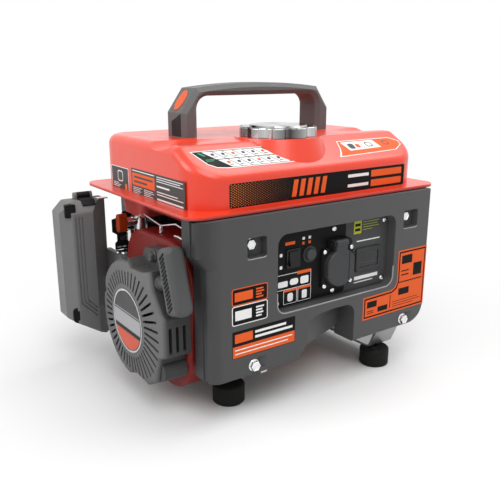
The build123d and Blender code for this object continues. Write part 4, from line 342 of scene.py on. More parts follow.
# Painted highlight: pale grey for the lower edges of the control recess and the bolt pockets
edge_highlight_grey = moulded("edge_highlight_grey", (0.30, 0.30, 0.30), 0.4, bump=0.1, shine=0.3)
lid_grey = moulded("lid_grey", (0.047, 0.048, 0.05), 0.4, bump=0.15, mottle=0.12)
meter_grey = moulded("meter_grey", (0.036, 0.037, 0.039), 0.4, bump=0.12, mottle=0.12)
matt_black = moulded("matt_black", (0.012, 0.012, 0.012), 0.55, mottle=0.12, shine=0.1)
gloss_black = finish("gloss_black", (0.009, 0.009, 0.009), 0.2, grain=900, bump=0.03, shine=0.25)
smoked = window_finish()
rubber = finish("rubber", (0.012, 0.012, 0.0115), 0.7, grain=1500, bump=0.25, shine=0.12)
cord_black = finish("cord_black", (0.05, 0.05, 0.05), 0.75, grain=3000, bump=0.3)
foam = finish("filter_foam", (0.16, 0.14, 0.11), 0.9, grain=900, bump=0.6)
black_steel = finish("black_steel", (0.045, 0.045, 0.046), 0.45, grain=1600, bump=0.15)
rail_steel = finish("rail_steel", (0.33, 0.33, 0.33), 0.38, metal=0.9, grain=900, bump=0.08)
bare_steel = finish("bare_steel", (0.32, 0.31, 0.30), 0.4, metal=1.0, grain=900, bump=0.1)
zinc = finish("zinc_plate", (0.78, 0.79, 0.80), 0.24, metal=1.0, grain=1200, bump=0.06)
chrome = finish("chrome", (0.72, 0.73, 0.74), 0.10, metal=1.0, mottle=0.02, spread=0.04)
cap_chrome_painted_reflections = cap_painted_reflections()
alloy = finish("cast_alloy", (0.42, 0.42, 0.42), 0.5, metal=0.7, grain=700, bump=0.3)
brass = finish("brass", (0.72, 0.50, 0.20), 0.3, metal=1.0, grain=900, bump=0.05)
copper = finish("copper_winding", (0.55, 0.22, 0.09), 0.4, metal=0.8, grain=900, bump=0.3)
badge_silver = finish("badge_silver", (0.62, 0.62, 0.63), 0.28, metal=0.9, grain=1200, bump=0.04)
label_black = printed("label_black", (0.006, 0.006, 0.006), 0.34, shine=0.08)
label_orange = printed("label_orange", (0.76, 0.112, 0.022), 0.35, mottle=0.03, shine=0.1)
label_white = printed("label_white", (0.80, 0.80, 0.79), mottle=0.02)
label_grey = printed("label_grey", (0.065, 0.066, 0.068))
label_gold = printed("label_gold", (0.64, 0.21, 0.05), 0.35, shine=0.1)
label_lime = printed("label_lime", (0.42, 0.44, 0.03))
label_green = printed("label_green", (0.03, 0.42, 0.18))
label_pale = printed("label_pale", (0.36, 0.36, 0.37), mottle=0.05)
label_salmon = printed("label_salmon", (0.58, 0.10, 0.055), mottle=0.04)

# Painted light and shade: the mouldings are painted palest on their lit faces and darker down their sides
# and slots, where shade falls; the recoil cover is painted lighter towards its top, and the covers darker
# on their left and lighter towards the right
paint_light_across(recoil_grey, "X", -168.4, -164, 1.0, 0.45)
paint_light_across(recoil_grey, "Z", 40, 175, 0.85, 1.15)
paint_light_across(cover_grey, "X", -142, -120, 0.6, 1.0)
paint_light_across(cover_grey, "X", -118, 180, 0.9, 1.12)

node_finish = {
    "rubber_feet": rubber,
    "foot_rails": rail_steel,
    "tank_upper_shell": tank_red,
    "tank_lower_pan": pan_red_painted_shade,
    "cap_seal": rubber,
    "fuel_cap": cap_chrome_painted_reflections,
    "carry_handle": handle_grey,
    "handle_inserts": trim_orange,
    "front_cover": cover_grey,
    "rear_cover": cover_grey,
    "tank_rails": black_steel,
    "tank_mounts": rubber,
    "control_plate": label_grey,
    "switch_housing": gloss_black,
    "switch_rocker": gloss_black,
    "breaker_housing": meter_grey,
    "breaker_button": lid_grey,
    "socket_body": matt_black,
    "socket_contacts": brass,
    "socket_lid_pin": zinc,
    "socket_lid": lid_grey,
    "voltmeter": meter_grey,
    "voltmeter_window": smoked,
    "recoil_cover": recoil_grey,
    "recoil_badge": badge_silver,
    "recoil_pulley": matt_black,
    "recoil_grip": grip_grey,
    "blower_housing": blower_red_painted_shade,
    "crankshaft": bare_steel,
    "flywheel_fan": alloy,
    "starter_cup": zinc,
    "crankcase": alloy,
    "shaft_bearings": bare_steel,
    "cylinder_barrel": alloy,
    "cylinder_head": alloy,
    "valve_cover": black_steel,
    "spark_plug": zinc,
    "plug_cap": rubber,
    "ignition_coil": bare_steel,
    "oil_drain_plug": zinc,
    "oil_dipstick": matt_black,
    "alternator_frame": alloy,
    "wound_stator": copper,
    "rotor": bare_steel,
    "alternator_end_cover": alloy,
    "muffler": bare_steel,
    "muffler_guard": zinc,
    "intake_spacer": matt_black,
    "carburettor": alloy,
    "choke_lever": zinc,
    "air_filter_base": filter_grey,
    "air_filter_cover": filter_grey,
    "air_filter_element": foam,
    "air_filter_clip": matt_black,
    "fuel_valve": zinc,
    "fuel_valve_lever": lever_red,
}


def paint_nodes():
    for name, material in node_finish.items():
        slots = nodes[name].data.materials
        slots.clear()
        slots.append(material)


# Shapes
def surface(origin, across, upward):
    """A flat place on the machine: its origin in metres and its two directions."""
    return Vector(origin) * mm, Vector(across).normalized(), Vector(upward).normalized()


def box_points(left, low, far, high):
    return [(left, low), (far, low), (far, high), (left, high)]


def rounded(left, low, far, high, radius, steps=5):
    """Corner-rounded rectangle as points, going round from its lower left."""
    corners = (
        (left + radius, low + radius, 180),
        (far - radius, low + radius, 270),
        (far - radius, high - radius, 0),
        (left + radius, high - radius, 90),
    )
    points = []
    for u, v, start in corners:
        for i in range(steps + 1):
            turn = math.radians(start + 90 * i / steps)
            points.append((u + radius * math.cos(turn), v + radius * math.sin(turn)))
    return points


def cut_disc(radius, low, high, steps=24):
    """The part of a disc between two heights, as points."""
    def side(sign):
        points = []
        for i in range(steps + 1):
            v = low + (high - low) * i / steps
            points.append((sign * math.sqrt(max(0.0, radius * radius - v * v)), v))
        return points
    return side(1) + side(-1)[::-1]


def slab(shape, spot, points, low, high, index=0):
    """Add a flat slab with that outline between two heights over the place."""
    origin, across, upward = spot
    out = across.cross(upward)
    rings = []
    for height in (low, high):
        ring = [shape.verts.new(origin + (across * u + upward * v + out * height) * mm) for u, v in points]
        rings.append(ring)
    faces = [shape.faces.new(rings[0][::-1]), shape.faces.new(rings[1])]
    for i in range(len(points)):
        j = (i + 1) % len(points)
        faces.append(shape.faces.new((rings[0][i], rings[0][j], rings[1][j], rings[1][i])))
    for face in faces:
        face.material_index = index


def skin(shape, rings, index=0):
    """Close a row of rings with walls between them and a face at both ends."""
    sides = len(rings[0])
    for a, b in zip(rings, rings[1:]):
        for k in range(sides):
            j = (k + 1) % sides
            shape.faces.new((a[k], a[j], b[j], b[k])).material_index = index
    shape.faces.new(rings[0][::-1]).material_index = index
    shape.faces.new(rings[-1]).material_index = index


def tube(shape, points, radius, sides=8):
    """Add a round tube along the points, closed at both ends."""
    places = [Vector(p) * mm for p in points]
    rings = []
    normal = None
    for i, place in enumerate(places):
        ahead = places[min(i + 1, len(places) - 1)] - places[max(i - 1, 0)]
        ahead.normalize()
        if normal is None:
            normal = ahead.orthogonal().normalized()
        normal = (normal - ahead * normal.dot(ahead)).normalized()
        side = ahead.cross(normal)
        ring = []
        for k in range(sides):
            turn = 2 * math.pi * k / sides
            out = normal * math.cos(turn) + side * math.sin(turn)
            ring.append(shape.verts.new(place + out * radius * mm))
        rings.append(ring)
    skin(shape, rings)


def turned(name, profile, sides, turn):
    """Model of a turned piece about its Z axis from radius and height pairs, then turned into place."""
    shape = bmesh.new()
    rings = []
    for radius, height in profile:
        ring = []
        for k in range(sides):
            angle = 2 * math.pi * k / sides
            point = Vector((radius * math.cos(angle), radius * math.sin(angle), height))
            ring.append(shape.verts.new(point * mm))
        rings.append(ring)
    skin(shape, rings)
    shape.transform(turn)
    return new_object(name, shape)


def join_shapes(name, parts):
    """Join objects into one new mesh and remove them."""
    shape = bmesh.new()
    for part in parts:
        shape.from_mesh(part.data)
        bpy.data.objects.remove(part)
    return new_object(name, shape)


def smooth_mesh(mesh):
    mesh.shade_smooth()
    mesh.set_sharp_from_angle(angle=math.radians(35))


def add_piece(name, shape, materials, body, smooth=False):
    """Turn the shape into a piece of the machine that rides on a body."""
    piece = new_object(name, shape)
    for material in materials:
        piece.data.materials.append(material)
    if smooth:
        smooth_mesh(piece.data)
    if body:
        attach(piece, body)
    return piece


def settle(piece, material, body, slot, *stands_for):
    """Smooth a finished piece, ride it on its body and hide the solids that it stands for."""
    piece.data.materials.clear()
    piece.data.materials.append(material)
    smooth_mesh(piece.data)
    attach(piece, body)
    if stands_for:
        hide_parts(*stands_for)


# Repeats
def new_tree(name, **inputs):
    """Geometry tree with points to place copies on, the other inputs by name and kind, and one output."""
    tree = bpy.data.node_groups.new(name, "GeometryNodeTree")
    face = tree.interface
    face.new_socket("Spots", in_out="INPUT", socket_type="NodeSocketGeometry")
    for label, kind in inputs.items():
        face.new_socket(label, in_out="INPUT", socket_type="NodeSocket" + kind)
    face.new_socket("Finish", in_out="INPUT", socket_type="NodeSocketMaterial")
    face.new_socket("Copies", in_out="OUTPUT", socket_type="NodeSocketGeometry")
    return tree


def place_copies(tree, given, model, size):
    """Put the model on the points at that size, make the copies real and give them the finish."""
    made = tree.nodes.new("NodeGroupOutput")
    place = tree.nodes.new("GeometryNodeInstanceOnPoints")
    real = tree.nodes.new("GeometryNodeRealizeInstances")
    paint = tree.nodes.new("GeometryNodeSetMaterial")
    tree.links.new(given.outputs["Spots"], place.inputs["Points"])
    tree.links.new(model, place.inputs["Instance"])
    tree.links.new(size, place.inputs["Scale"])
    tree.links.new(place.outputs["Instances"], real.inputs["Geometry"])
    tree.links.new(real.outputs["Geometry"], paint.inputs["Geometry"])
    tree.links.new(given.outputs["Finish"], paint.inputs["Material"])
    tree.links.new(paint.outputs["Geometry"], made.inputs["Copies"])
    return place


def repeat_tree():
    """Copies of one piece on the points of a mesh."""
    tree = new_tree("copies_on_points", Piece="Object", Size="Float")
    given = tree.nodes.new("NodeGroupInput")
    model = tree.nodes.new("GeometryNodeObjectInfo")
    tree.links.new(given.outputs["Piece"], model.inputs["Object"])
    place_copies(tree, given, model.outputs["Geometry"], given.outputs["Size"])
    return tree


def dot_tree():
    """Upright dots on the points of a mesh, which shrink from one place on the X axis to another."""
    tree = new_tree("strip_dots", Radius="Float", Start="Float", End="Float")
    given = tree.nodes.new("NodeGroupInput")
    disc = tree.nodes.new("GeometryNodeMeshCircle")
    disc.fill_type = "NGON"
    set_values(disc, {"Vertices": 6})
    where = tree.nodes.new("GeometryNodeInputPosition")
    split = tree.nodes.new("ShaderNodeSeparateXYZ")
    fade = tree.nodes.new("ShaderNodeMapRange")
    set_values(fade, {"To Min": 1.0, "To Max": 0.2})
    stand = tree.nodes.new("FunctionNodeInputVector")
    stand.vector = (math.pi / 2, 0, 0)
    tree.links.new(given.outputs["Radius"], disc.inputs["Radius"])
    tree.links.new(where.outputs["Position"], split.inputs["Vector"])
    tree.links.new(split.outputs["X"], fade.inputs["Value"])
    tree.links.new(given.outputs["Start"], fade.inputs["From Min"])
    tree.links.new(given.outputs["End"], fade.inputs["From Max"])
    place = place_copies(tree, given, disc.outputs["Mesh"], fade.outputs["Result"])
    tree.links.new(stand.outputs["Vector"], place.inputs["Rotation"])
    return tree


def socket_id(tree, name):
    return next(s.identifier for s in tree.interface.items_tree if s.name == name and s.in_out == "INPUT")


def grow(name, spots, tree, **values):
    """Plain mesh of what the tree makes on the spots, which are in millimetres."""
    mesh = bpy.data.meshes.new(name + "_spots")
    mesh.from_pydata([Vector(s) * mm for s in spots], [], [])
    holder = bpy.data.objects.new(name + "_spots", mesh)
    bpy.context.collection.objects.link(holder)
    modifier = holder.modifiers.new("copies", "NODES")
    modifier.node_group = tree
    for label, value in values.items():
        modifier[socket_id(tree, label)] = value
    bpy.context.view_layer.update()
    graph = bpy.context.evaluated_depsgraph_get()
    made = bpy.data.meshes.new_from_object(holder.evaluated_get(graph))
    made.name = name
    bpy.data.objects.remove(holder)
    piece = bpy.data.objects.new(name, made)
    bpy.context.collection.objects.link(piece)
    return piece


copies_on_points = repeat_tree()
face_front = Matrix.Rotation(math.radians(90), 4, "X")
face_rear = Matrix.Rotation(math.radians(-90), 4, "X")
face_left = Matrix.Rotation(math.radians(-90), 4, "Y")
face_right = Matrix.Rotation(math.radians(90), 4, "Y")


def copies(name, spots, model, material, size=1.0):
    """One mesh of copies of the model at the spots, which are in millimetres."""
    piece = grow(name, spots, copies_on_points, Piece=model, Size=size, Finish=material)
    bpy.data.objects.remove(model)
    return piece


# Printed sheets
cover_front = surface((0, cover_face_y, 0), right, up)
plate_front = surface((0, plate_face_y, 0), right, up)
tank_front = surface((0, tank_front_y, 0), right, up)
tank_left = surface((tank_side_x, 0, 0), -rear, up)
slope_rise = Vector((0, slope_high[0] - slope_low[0], slope_high[1] - slope_low[1]))
tank_slope = surface((0, slope_low[0], slope_low[1]), right, slope_rise)
badge_front = surface((badge_face_x, crank_y, crank_z), -rear, up)

inks = [label_black, label_orange, label_white, label_grey, label_gold, label_lime, label_green]
black, orange, white, grey, gold, lime, green = range(len(inks))


def add_label(name, spot, layers):
    """Printed sheet of layers, each with a level, an ink and an outline, a little above the one before."""
    shape = bmesh.new()
    for level, ink, points in layers:
        slab(shape, spot, points, print_foot, print_height + print_step * level, ink)
    add_piece(name, shape, inks, "frame")


def outlined(level, rim, ground, left, low, far, high, radius, width):
    """A bordered box: the border's outline and its ground above it."""
    inner = rounded(left + width, low + width, far - width, high - width, max(0.3, radius - width))
    return [(level, rim, rounded(left, low, far, high, radius)), (level + 1, ground, inner)]


def bars(level, ink, left, low, far, high, count=1, fill=0.55, ends=(1.0,)):
    """Rows of plain bars that fill a box, each as long as its share in ends."""
    pitch = (high - low) / count
    layers = []
    for i in range(count):
        base = high - (i + 1) * pitch + pitch * (1 - fill) / 2
        reach = left + (far - left) * ends[i % len(ends)]
        layers.append((level, ink, box_points(left, base, reach, base + pitch * fill)))
    return layers


def add_tank_strip():
    """Dark strip on the tank's front, with slanted stripes and plain blocks."""
    layers = [
        (0, black, rounded(-98, 225.3, 151, 249.7, 2)),
        (1, orange, rounded(96, 239.2, 146, 246.8, 1)),
        (1, orange, rounded(96, 228.2, 146, 235.8, 1)),
    ]
    for foot in range(-20, 30, 10):
        layers.append((1, orange, [(foot, 228.5), (foot + 6, 228.5), (foot + 9, 246.5), (foot + 3, 246.5)]))
    layers += bars(1, white, 60, 239.6, 92, 246.4, fill=0.5)
    layers += bars(1, white, 60, 228.6, 92, 235.4, fill=0.5)
    add_label("tank_strip", tank_front, layers)


def add_strip_dots():
    """Staggered gold dots on the left of the tank's strip."""
    pitch = 2.4
    left = -96.0
    low = 226.8
    high = 248.8
    squeeze = 0.87
    stand_off = 0.16
    spots = []
    for column in range(36):
        for row in range(10):
            height = low + row * pitch + (pitch / 2 if column % 2 else 0)
            if height < high:
                spots.append((left + column * pitch * squeeze, tank_front_y - stand_off, height))
    fade = {"Start": -90 * mm, "End": -20 * mm}
    dots = grow("tank_strip_dots", spots, dot_tree(), Radius=0.66 * mm, Finish=label_gold, **fade)
    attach(dots, "frame")


def add_cover_boxes():
    """Two bordered boxes on the front cover."""
    layers = [
        *outlined(0, orange, black, -109.8, 131.4, -65.8, 149.4, 2.6, 1.0),
        *outlined(0, white, black, -109.8, 110.2, -65.8, 131.0, 2.6, 1.0),
        *bars(2, orange, -106.5, 134.6, -84.5, 146.2, fill=0.8),
        *bars(2, orange, -80.5, 134.6, -70.5, 146.2, 4, ends=(0.9, 1.0, 0.7, 0.9)),
        *bars(2, white, -106.0, 114.2, -86.0, 127.0, fill=0.8),
        *bars(2, white, -80.5, 114.2, -70.5, 127.0, 4, ends=(1.0, 0.8, 0.9, 0.7)),
    ]
    add_label("cover_label_boxes", cover_front, layers)


def add_cover_bands():
    """Dark sheet with an orange foot, below the boxes."""
    layers = [
        (0, black, rounded(-109.5, 74.6, -28.8, 104.0, 1.2)),
        (1, orange, box_points(-108.9, 75.2, -29.4, 87.6)),
        *bars(1, orange, -106.5, 90.2, -84.5, 101.6, fill=0.85),
        *bars(1, white, -81.5, 90.4, -32.5, 101.4, 2, fill=0.5, ends=(0.82, 1.0)),
        *bars(2, white, -106.5, 77.2, -32.5, 85.6, 2, fill=0.28, ends=(1.0, 0.92)),
    ]
    add_label("cover_label_bands", cover_front, layers)


def add_cover_corner():
    """Orange sheet that turns round the recess's lower corner, with a dark line inside its edge."""
    edge = [(72.6, 74.2), (178.0, 74.2), (178.0, 150.2), (128.0, 150.2)]
    edge += [(128.0, 112.0), (125.0, 106.0), (119.0, 103.0), (72.6, 102.2)]
    line = [(74.4, 76.0), (176.2, 76.0), (176.2, 148.4), (129.8, 148.4)]
    line += [(129.8, 111.6), (126.4, 104.8), (119.4, 101.2), (74.4, 100.4)]
    inside = [(76.3, 77.9), (174.3, 77.9), (174.3, 146.5), (131.7, 146.5)]
    inside += [(131.7, 110.9), (127.9, 103.2), (120.2, 99.3), (76.3, 98.5)]
    layers = [
        (0, orange, edge),
        (1, black, line),
        (2, orange, inside),
        (3, black, box_points(131.0, 109.6, 171.5, 111.0)),
        (3, black, box_points(117.0, 80.5, 118.2, 97.5)),
        *bars(3, black, 134.5, 131.5, 152.5, 144.5, fill=0.8),
        *bars(3, black, 134.5, 116.5, 147.5, 126.5, 2, fill=0.3),
        *bars(3, black, 155.5, 115.0, 170.5, 131.5, fill=0.95),
        *bars(3, black, 79.0, 87.5, 95.0, 96.5, fill=0.85),
        *bars(3, black, 79.0, 80.0, 90.0, 85.0, 2, fill=0.4),
        *bars(3, black, 97.0, 80.0, 113.5, 87.0, fill=0.9),
        *bars(3, black, 131.5, 93.0, 150.0, 103.5, fill=0.8),
        *bars(3, black, 122.0, 80.0, 171.0, 89.0, 3, fill=0.22, ends=(0.9, 1.0, 0.75)),
    ]
    add_label("cover_label_corner", cover_front, layers)


def add_panel_print():
    """Print on the control plate: a dark left half with boxes, and lime and white bars on the right."""
    layers = [
        (0, black, rounded(-50.5, 112, 52, 193.5, 4)),
        *outlined(1, white, black, -46.5, 130.6, 2.0, 148.0, 0.8, 0.6),
        *outlined(1, white, black, -36.0, 113.9, -17.6, 130.0, 0.8, 0.6),
        *outlined(1, white, black, -16.4, 113.9, 2.4, 130.0, 0.8, 0.6),
        (3, orange, box_points(-17.6, 145.2, 1.6, 148.8)),
        (3, orange, box_points(-35.6, 128.0, -18.0, 130.4)),
        (3, orange, box_points(-16.0, 128.0, 2.0, 130.4)),
        (3, white, rounded(-43.5, 134.0, -30.5, 140.5, 1.5)),
        (3, white, rounded(-27.5, 134.5, -16.0, 141.5, 3)),
        (3, white, rounded(-13.0, 133.5, -1.5, 142.0, 2)),
        (3, white, rounded(-30.5, 116.5, -23.0, 126.0, 2.5)),
        (3, white, rounded(-10.5, 116.5, -3.5, 126.0, 1.5)),
        (1, orange, box_points(-34.5, 179.6, -21.2, 183.0)),
        (1, white, box_points(-11.2, 182.6, -7.8, 185.6)),
        (1, white, box_points(-2.8, 182.6, 0.6, 185.6)),
        (1, orange, box_points(-11.2, 177.4, -8.2, 180.4)),
        (1, orange, box_points(-2.8, 177.4, 0.6, 180.4)),
        (1, white, rounded(-41.5, 168.0, -38.0, 171.6, 0.8)),
        (1, white, rounded(-41.5, 154.5, -38.0, 158.1, 0.8)),
        (0, lime, rounded(64.2, 177.2, 76.2, 192.2, 0.8)),
        *bars(1, black, 66.0, 179.0, 74.4, 190.4, 2),
        *bars(0, lime, 78.5, 179.5, 104.0, 191.5, 4, fill=0.2, ends=(1.0, 0.9, 1.0, 0.6)),
        *bars(0, white, 69.5, 166.6, 106.5, 169.8, fill=0.4),
        *bars(0, white, 68.0, 121.0, 106.0, 126.6, fill=0.75),
        *bars(0, white, 68.0, 117.6, 98.0, 119.8, fill=0.5),
    ]
    add_label("panel_print", plate_front, layers)


def add_slope_guide():
    """Sheet on the tank's slope with two rows of leaning white cells."""
    edge = [(-92, 11.5), (2, 11.5), (-24, 42), (-121, 42), (-112, 20), (-104, 13.5)]
    ground = [(-91.6, 12.7), (0, 12.7), (-24.6, 40.8), (-119.2, 40.8), (-110.8, 20.6), (-103.4, 14.6)]
    layers = [(0, white, edge), (1, black, ground)]
    rows = (13.3, 27.1)
    lean = -0.85
    tall = 12.6
    wide = 11.1
    pitch = 12.4
    shift = tall * lean
    for row, base in enumerate(rows):
        for column in range(6):
            left = -86 + column * pitch + (base - rows[0]) * lean
            far = left + wide
            top = base + tall
            middle = left + 5.5 + shift / 2
            ink = orange if (row + column) % 3 == 0 else grey
            layers += [
                (2, white, [(left, base), (far, base), (far + shift, top), (left + shift, top)]),
                (3, ink, rounded(middle - 2.6, base + 5.6, middle + 1.4, base + 9.6, 1.4)),
                (3, grey, box_points(middle - 1.2, base + 3.0, middle + 3.6, base + 4.2)),
            ]
    layers.append((2, green, [(-109, 33), (-106.5, 33), (-111.5, 38.5), (-114, 38.5)]))
    layers += bars(2, green, -110, 24, -99.5, 28, 2, fill=0.4, ends=(1.0, 0.8))
    add_label("slope_guide", tank_slope, layers)


def add_slope_card():
    """Orange card with a white edge and a white field, on the slope's right."""
    edge = [(56, 11), (66, 11.2), (150, 15), (166, 24), (168, 32)]
    edge += [(156, 40), (72, 40), (70, 34), (67, 26), (62, 18)]
    ground = [(60, 12.2), (149.6, 16), (164.8, 24.6), (166.6, 31.4), (155.4, 38.8)]
    ground += [(73, 38.8), (71.2, 33.6), (68.2, 25.4), (63.4, 17.2)]
    layers = [
        (0, white, edge),
        (1, orange, ground),
        (2, white, [(80, 20.5), (131, 22.5), (127, 37.2), (75.5, 36.8)]),
        (3, grey, box_points(103.6, 22.0, 104.2, 36.8)),
        (3, grey, rounded(82.5, 23.5, 91.5, 33.5, 3)),
        (3, orange, rounded(94.0, 25.0, 100.5, 32.0, 2)),
        (3, grey, rounded(110.0, 25.0, 120.5, 34.0, 2.5)),
        (4, white, rounded(111.4, 26.4, 119.1, 32.6, 1.8)),
        (2, grey, rounded(139.0, 26.0, 149.0, 34.5, 4)),
        (3, orange, rounded(140.4, 27.4, 147.6, 33.1, 2.7)),
    ]
    add_label("slope_card", tank_slope, layers)


def add_side_card():
    """Small bordered card on the tank's left side."""
    layers = [
        (0, white, rounded(-83, 221.6, -37, 249.4, 1.2)),
        (1, grey, rounded(-82.2, 222.4, -37.8, 248.6, 1)),
        *bars(2, white, -79, 225.0, -58, 231.0, 3, fill=0.4, ends=(0.7, 1.0, 0.8)),
        (2, white, rounded(-66, 232.5, -52, 245.0, 3)),
        (3, grey, rounded(-64.8, 233.7, -53.2, 243.8, 2.4)),
        (2, gold, rounded(-47, 224.0, -42, 231.0, 1)),
    ]
    add_label("side_card", tank_left, layers)


def add_side_data():
    """Grey sheet of bars on the tank's left side."""
    layers = [
        (0, grey, rounded(-29, 222.0, 92, 252.0, 1)),
        (1, orange, rounded(-26.5, 233.5, 27.5, 247.0, 0.6)),
        *bars(2, grey, -22.5, 235.2, 23.5, 245.4, 2, fill=0.42, ends=(1.0, 0.7)),
        *bars(1, white, -26.5, 248.6, 27.5, 250.6, fill=0.5),
        *bars(1, white, -25.5, 224.2, -3.5, 232.0, 4, fill=0.35, ends=(1.0, 0.8, 0.9, 0.7)),
        *bars(1, white, 1.5, 224.2, 25.5, 232.0, 4, fill=0.35, ends=(0.9, 1.0, 0.7, 0.9)),
        *bars(1, white, 32.5, 243.5, 88.5, 250.5, 3, fill=0.35, ends=(1.0, 0.9, 1.0)),
        *bars(1, white, 32.5, 238.0, 60.5, 241.0, fill=0.6),
        *bars(1, white, 32.5, 229.5, 88.5, 235.0, 2, fill=0.35, ends=(0.8, 1.0)),
        *bars(1, white, 32.5, 224.0, 88.5, 227.6, fill=0.5),
    ]
    add_label("side_data", tank_left, layers)


def add_badge():
    """Badge print inside its bright rim: dark ground, pale band, thin lines and an orange foot."""
    dark, pale, foot, line = range(4)
    radius = 33.0
    shape = bmesh.new()
    slab(shape, badge_front, cut_disc(34.0, -33.9, 33.9), print_foot, 0.10, dark)
    for low, high, ink in ((-8.5, 8.0, pale), (-12.5, -9.7, line), (-32.9, -14.0, foot), (9.6, 10.6, pale)):
        slab(shape, badge_front, cut_disc(radius, low, high), print_foot, 0.16, ink)
    materials = [label_grey, label_pale, label_salmon, label_black]
    add_piece("badge_print", shape, materials, "frame")


def add_meter_face():
    """Dial card with its scale and needle behind the meter's window."""
    card, mark, needle = range(3)
    spot = surface(meter_card, right, up)
    shape = bmesh.new()
    slab(shape, spot, rounded(-13.5, -8, 13.5, 8, 1), -0.2, 0.0, card)
    slab(shape, spot, box_points(-11, -4.6, 11, -3.8), print_foot, 0.08, mark)
    for i in range(11):
        u = -10 + 2 * i
        tall = 2.6 if i % 5 == 0 else 1.4
        slab(shape, spot, box_points(u - 0.18, -3.6, u + 0.18, -3.6 + tall), print_foot, 0.08, mark)
    slab(shape, spot, [(-0.3, -7.5), (0.3, -7.5), (-6.3, 5.4), (-6.7, 5.2)], print_foot, 0.3, needle)
    add_piece("meter_face", shape, [label_black, label_white, label_orange], "frame")


# Bolts and screws
def bolt_model(name, turn):
    """M6 flange bolt: shank, washer flange and a bevelled hexagon with a dished top."""
    shank = turned(name + "_shank", ((2.6, -10), (2.95, -9.4), (2.95, 0.2)), 16, turn)
    flange = turned(name + "_flange", ((6.4, 0), (6.5, 0.3), (6.5, 0.9), (6.1, 1.3), (5.2, 1.7)), 36, turn)
    hexagon = turned(name + "_hex", ((5.7, 1.2), (5.75, 4.9), (5.2, 5.6), (4.2, 5.6), (3.7, 5.1)), 6, turn)
    return join_shapes(name, (shank, flange, hexagon))


def screw_model(name, turn):
    """Pan head screw: shank, domed head and a dimple for the driver."""
    shank = turned(name + "_shank", ((1.4, -5), (1.7, -4.4), (1.7, 0.2)), 12, turn)
    profile = ((3.1, 0), (3.2, 0.5), (3.0, 1.1), (2.4, 1.6), (1.6, 1.8), (1.15, 1.8), (0.8, 1.2))
    head = turned(name + "_head", profile, 24, turn)
    return join_shapes(name, (shank, head))


def add_bolts():
    """Flange bolts of the covers and the recoil starter, in place of the plain ones."""
    seats = ((cover_face_y + pocket_depth, upper_bolt_z), (cover_face_y, lower_bolt_z))
    front = [(x, y, z) for x in bolt_columns for y, z in seats]
    groups = (
        ("front", face_front, front),
        ("rear", face_rear, [(x, -y, z) for x, y, z in front]),
        ("recoil", face_left, [(lug_seat_x, crank_y + y, crank_z + z) for y, z in front_lugs]),
        ("blower", face_right, [(blower_seat_x, crank_y + low_lug[0], crank_z + low_lug[1])]),
    )
    sets = {}
    for name, turn, spots in groups:
        sets[name] = copies(name + "_bolts", spots, bolt_model(name + "_bolt", turn), zinc)
    cover_bolts = join_shapes("cover_bolts", (sets["front"], sets["rear"]))
    settle(cover_bolts, zinc, "frame", "bright_steel", "flange_bolts")
    recoil_bolts = join_shapes("recoil_bolts", (sets["recoil"], sets["blower"]))
    settle(recoil_bolts, black_steel, "frame", "bright_steel")


def add_screws():
    """Pan head screws of the control plate and the socket, in place of the plain ones."""
    plate = [(x, plate_face_y, z) for x in plate_screw_columns for z in plate_screw_rows]
    x, y, z = socket_middle
    corners = [(i * socket_screw_reach, j * socket_screw_reach) for i in (-1, 1) for j in (-1, 1)]
    socket = [(x + u, y, z + v) for u, v in corners]
    plate_set = copies("plate_screws", plate, screw_model("plate_screw", face_front), zinc)
    model = screw_model("socket_screw", face_front)
    socket_set = copies("socket_screws", socket, model, zinc, size=socket_screw_size)
    screws = join_shapes("panel_screw_set", (plate_set, socket_set))
    settle(screws, zinc, "frame", "bright_steel", "panel_screws")


# Cord and hose
def route_curve(name, route):
    """A smooth curve through the machine, with the route's points in millimetres as its control points."""
    data = bpy.data.curves.new(name, "CURVE")
    data.dimensions = "3D"
    line = data.splines.new("NURBS")
    line.points.add(len(route) - 1)
    for spot, point in zip(line.points, route):
        spot.co = (*(Vector(point) * mm), 1)
    line.order_u = 3
    line.use_endpoint_u = True
    line.resolution_u = 40
    curve = bpy.data.objects.new(name, data)
    bpy.context.collection.objects.link(curve)
    return curve


def add_pull_cord():
    """Three-strand starter cord from the pulley to the grip."""
    guide = route_curve("cord_route", [rope_start + rope_way * rope_run * share for share in (0, 0.5, 1)])
    mesh = bpy.data.meshes.new_from_object(guide)
    path = [v.co.copy() for v in mesh.vertices]
    bpy.data.objects.remove(guide)
    side = rope_way.cross(right).normalized()
    strand_offset = 0.5
    strand_radius = 0.55
    shape = bmesh.new()
    for strand in range(cord_strands):
        points = []
        for spot in path:
            share = (spot / mm - rope_start).length / rope_run
            angle = 2 * math.pi * (cord_turns * share + strand / cord_strands)
            offset = (right * math.cos(angle) + side * math.sin(angle)) * rope_radius * strand_offset
            points.append(spot / mm + offset)
        tube(shape, points, rope_radius * strand_radius)
    cord = add_piece("pull_cord", shape, [cord_black], None, smooth=True)
    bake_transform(cord)
    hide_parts("recoil_rope")


def add_fuel_line():
    """Rubber fuel line from the valve down to the carburettor."""
    route = ((-112, 58, 173.6), (-112, 58, 136), (-112, 58, 120), (-112, 68, 120))
    hose = route_curve("fuel_line", route)
    hose.data.bevel_depth = 3.5 * mm
    hose.data.bevel_resolution = 6
    hose.data.use_fill_caps = True
    hose.data.materials.append(rubber)
    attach(hose, "frame")
    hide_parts("fuel_hose")


# Fittings
def spring_points(start, end, radius, turns, steps=12):
    """Coil of wire round the line from start to end, as points."""
    a = Vector(start)
    b = Vector(end)
    way = (b - a).normalized()
    side = way.orthogonal().normalized()
    other = way.cross(side)
    points = []
    for i in range(turns * steps + 1):
        angle = 2 * math.pi * i / steps
        out = side * math.cos(angle) + other * math.sin(angle)
        points.append(a.lerp(b, i / (turns * steps)) + out * radius)
    return points


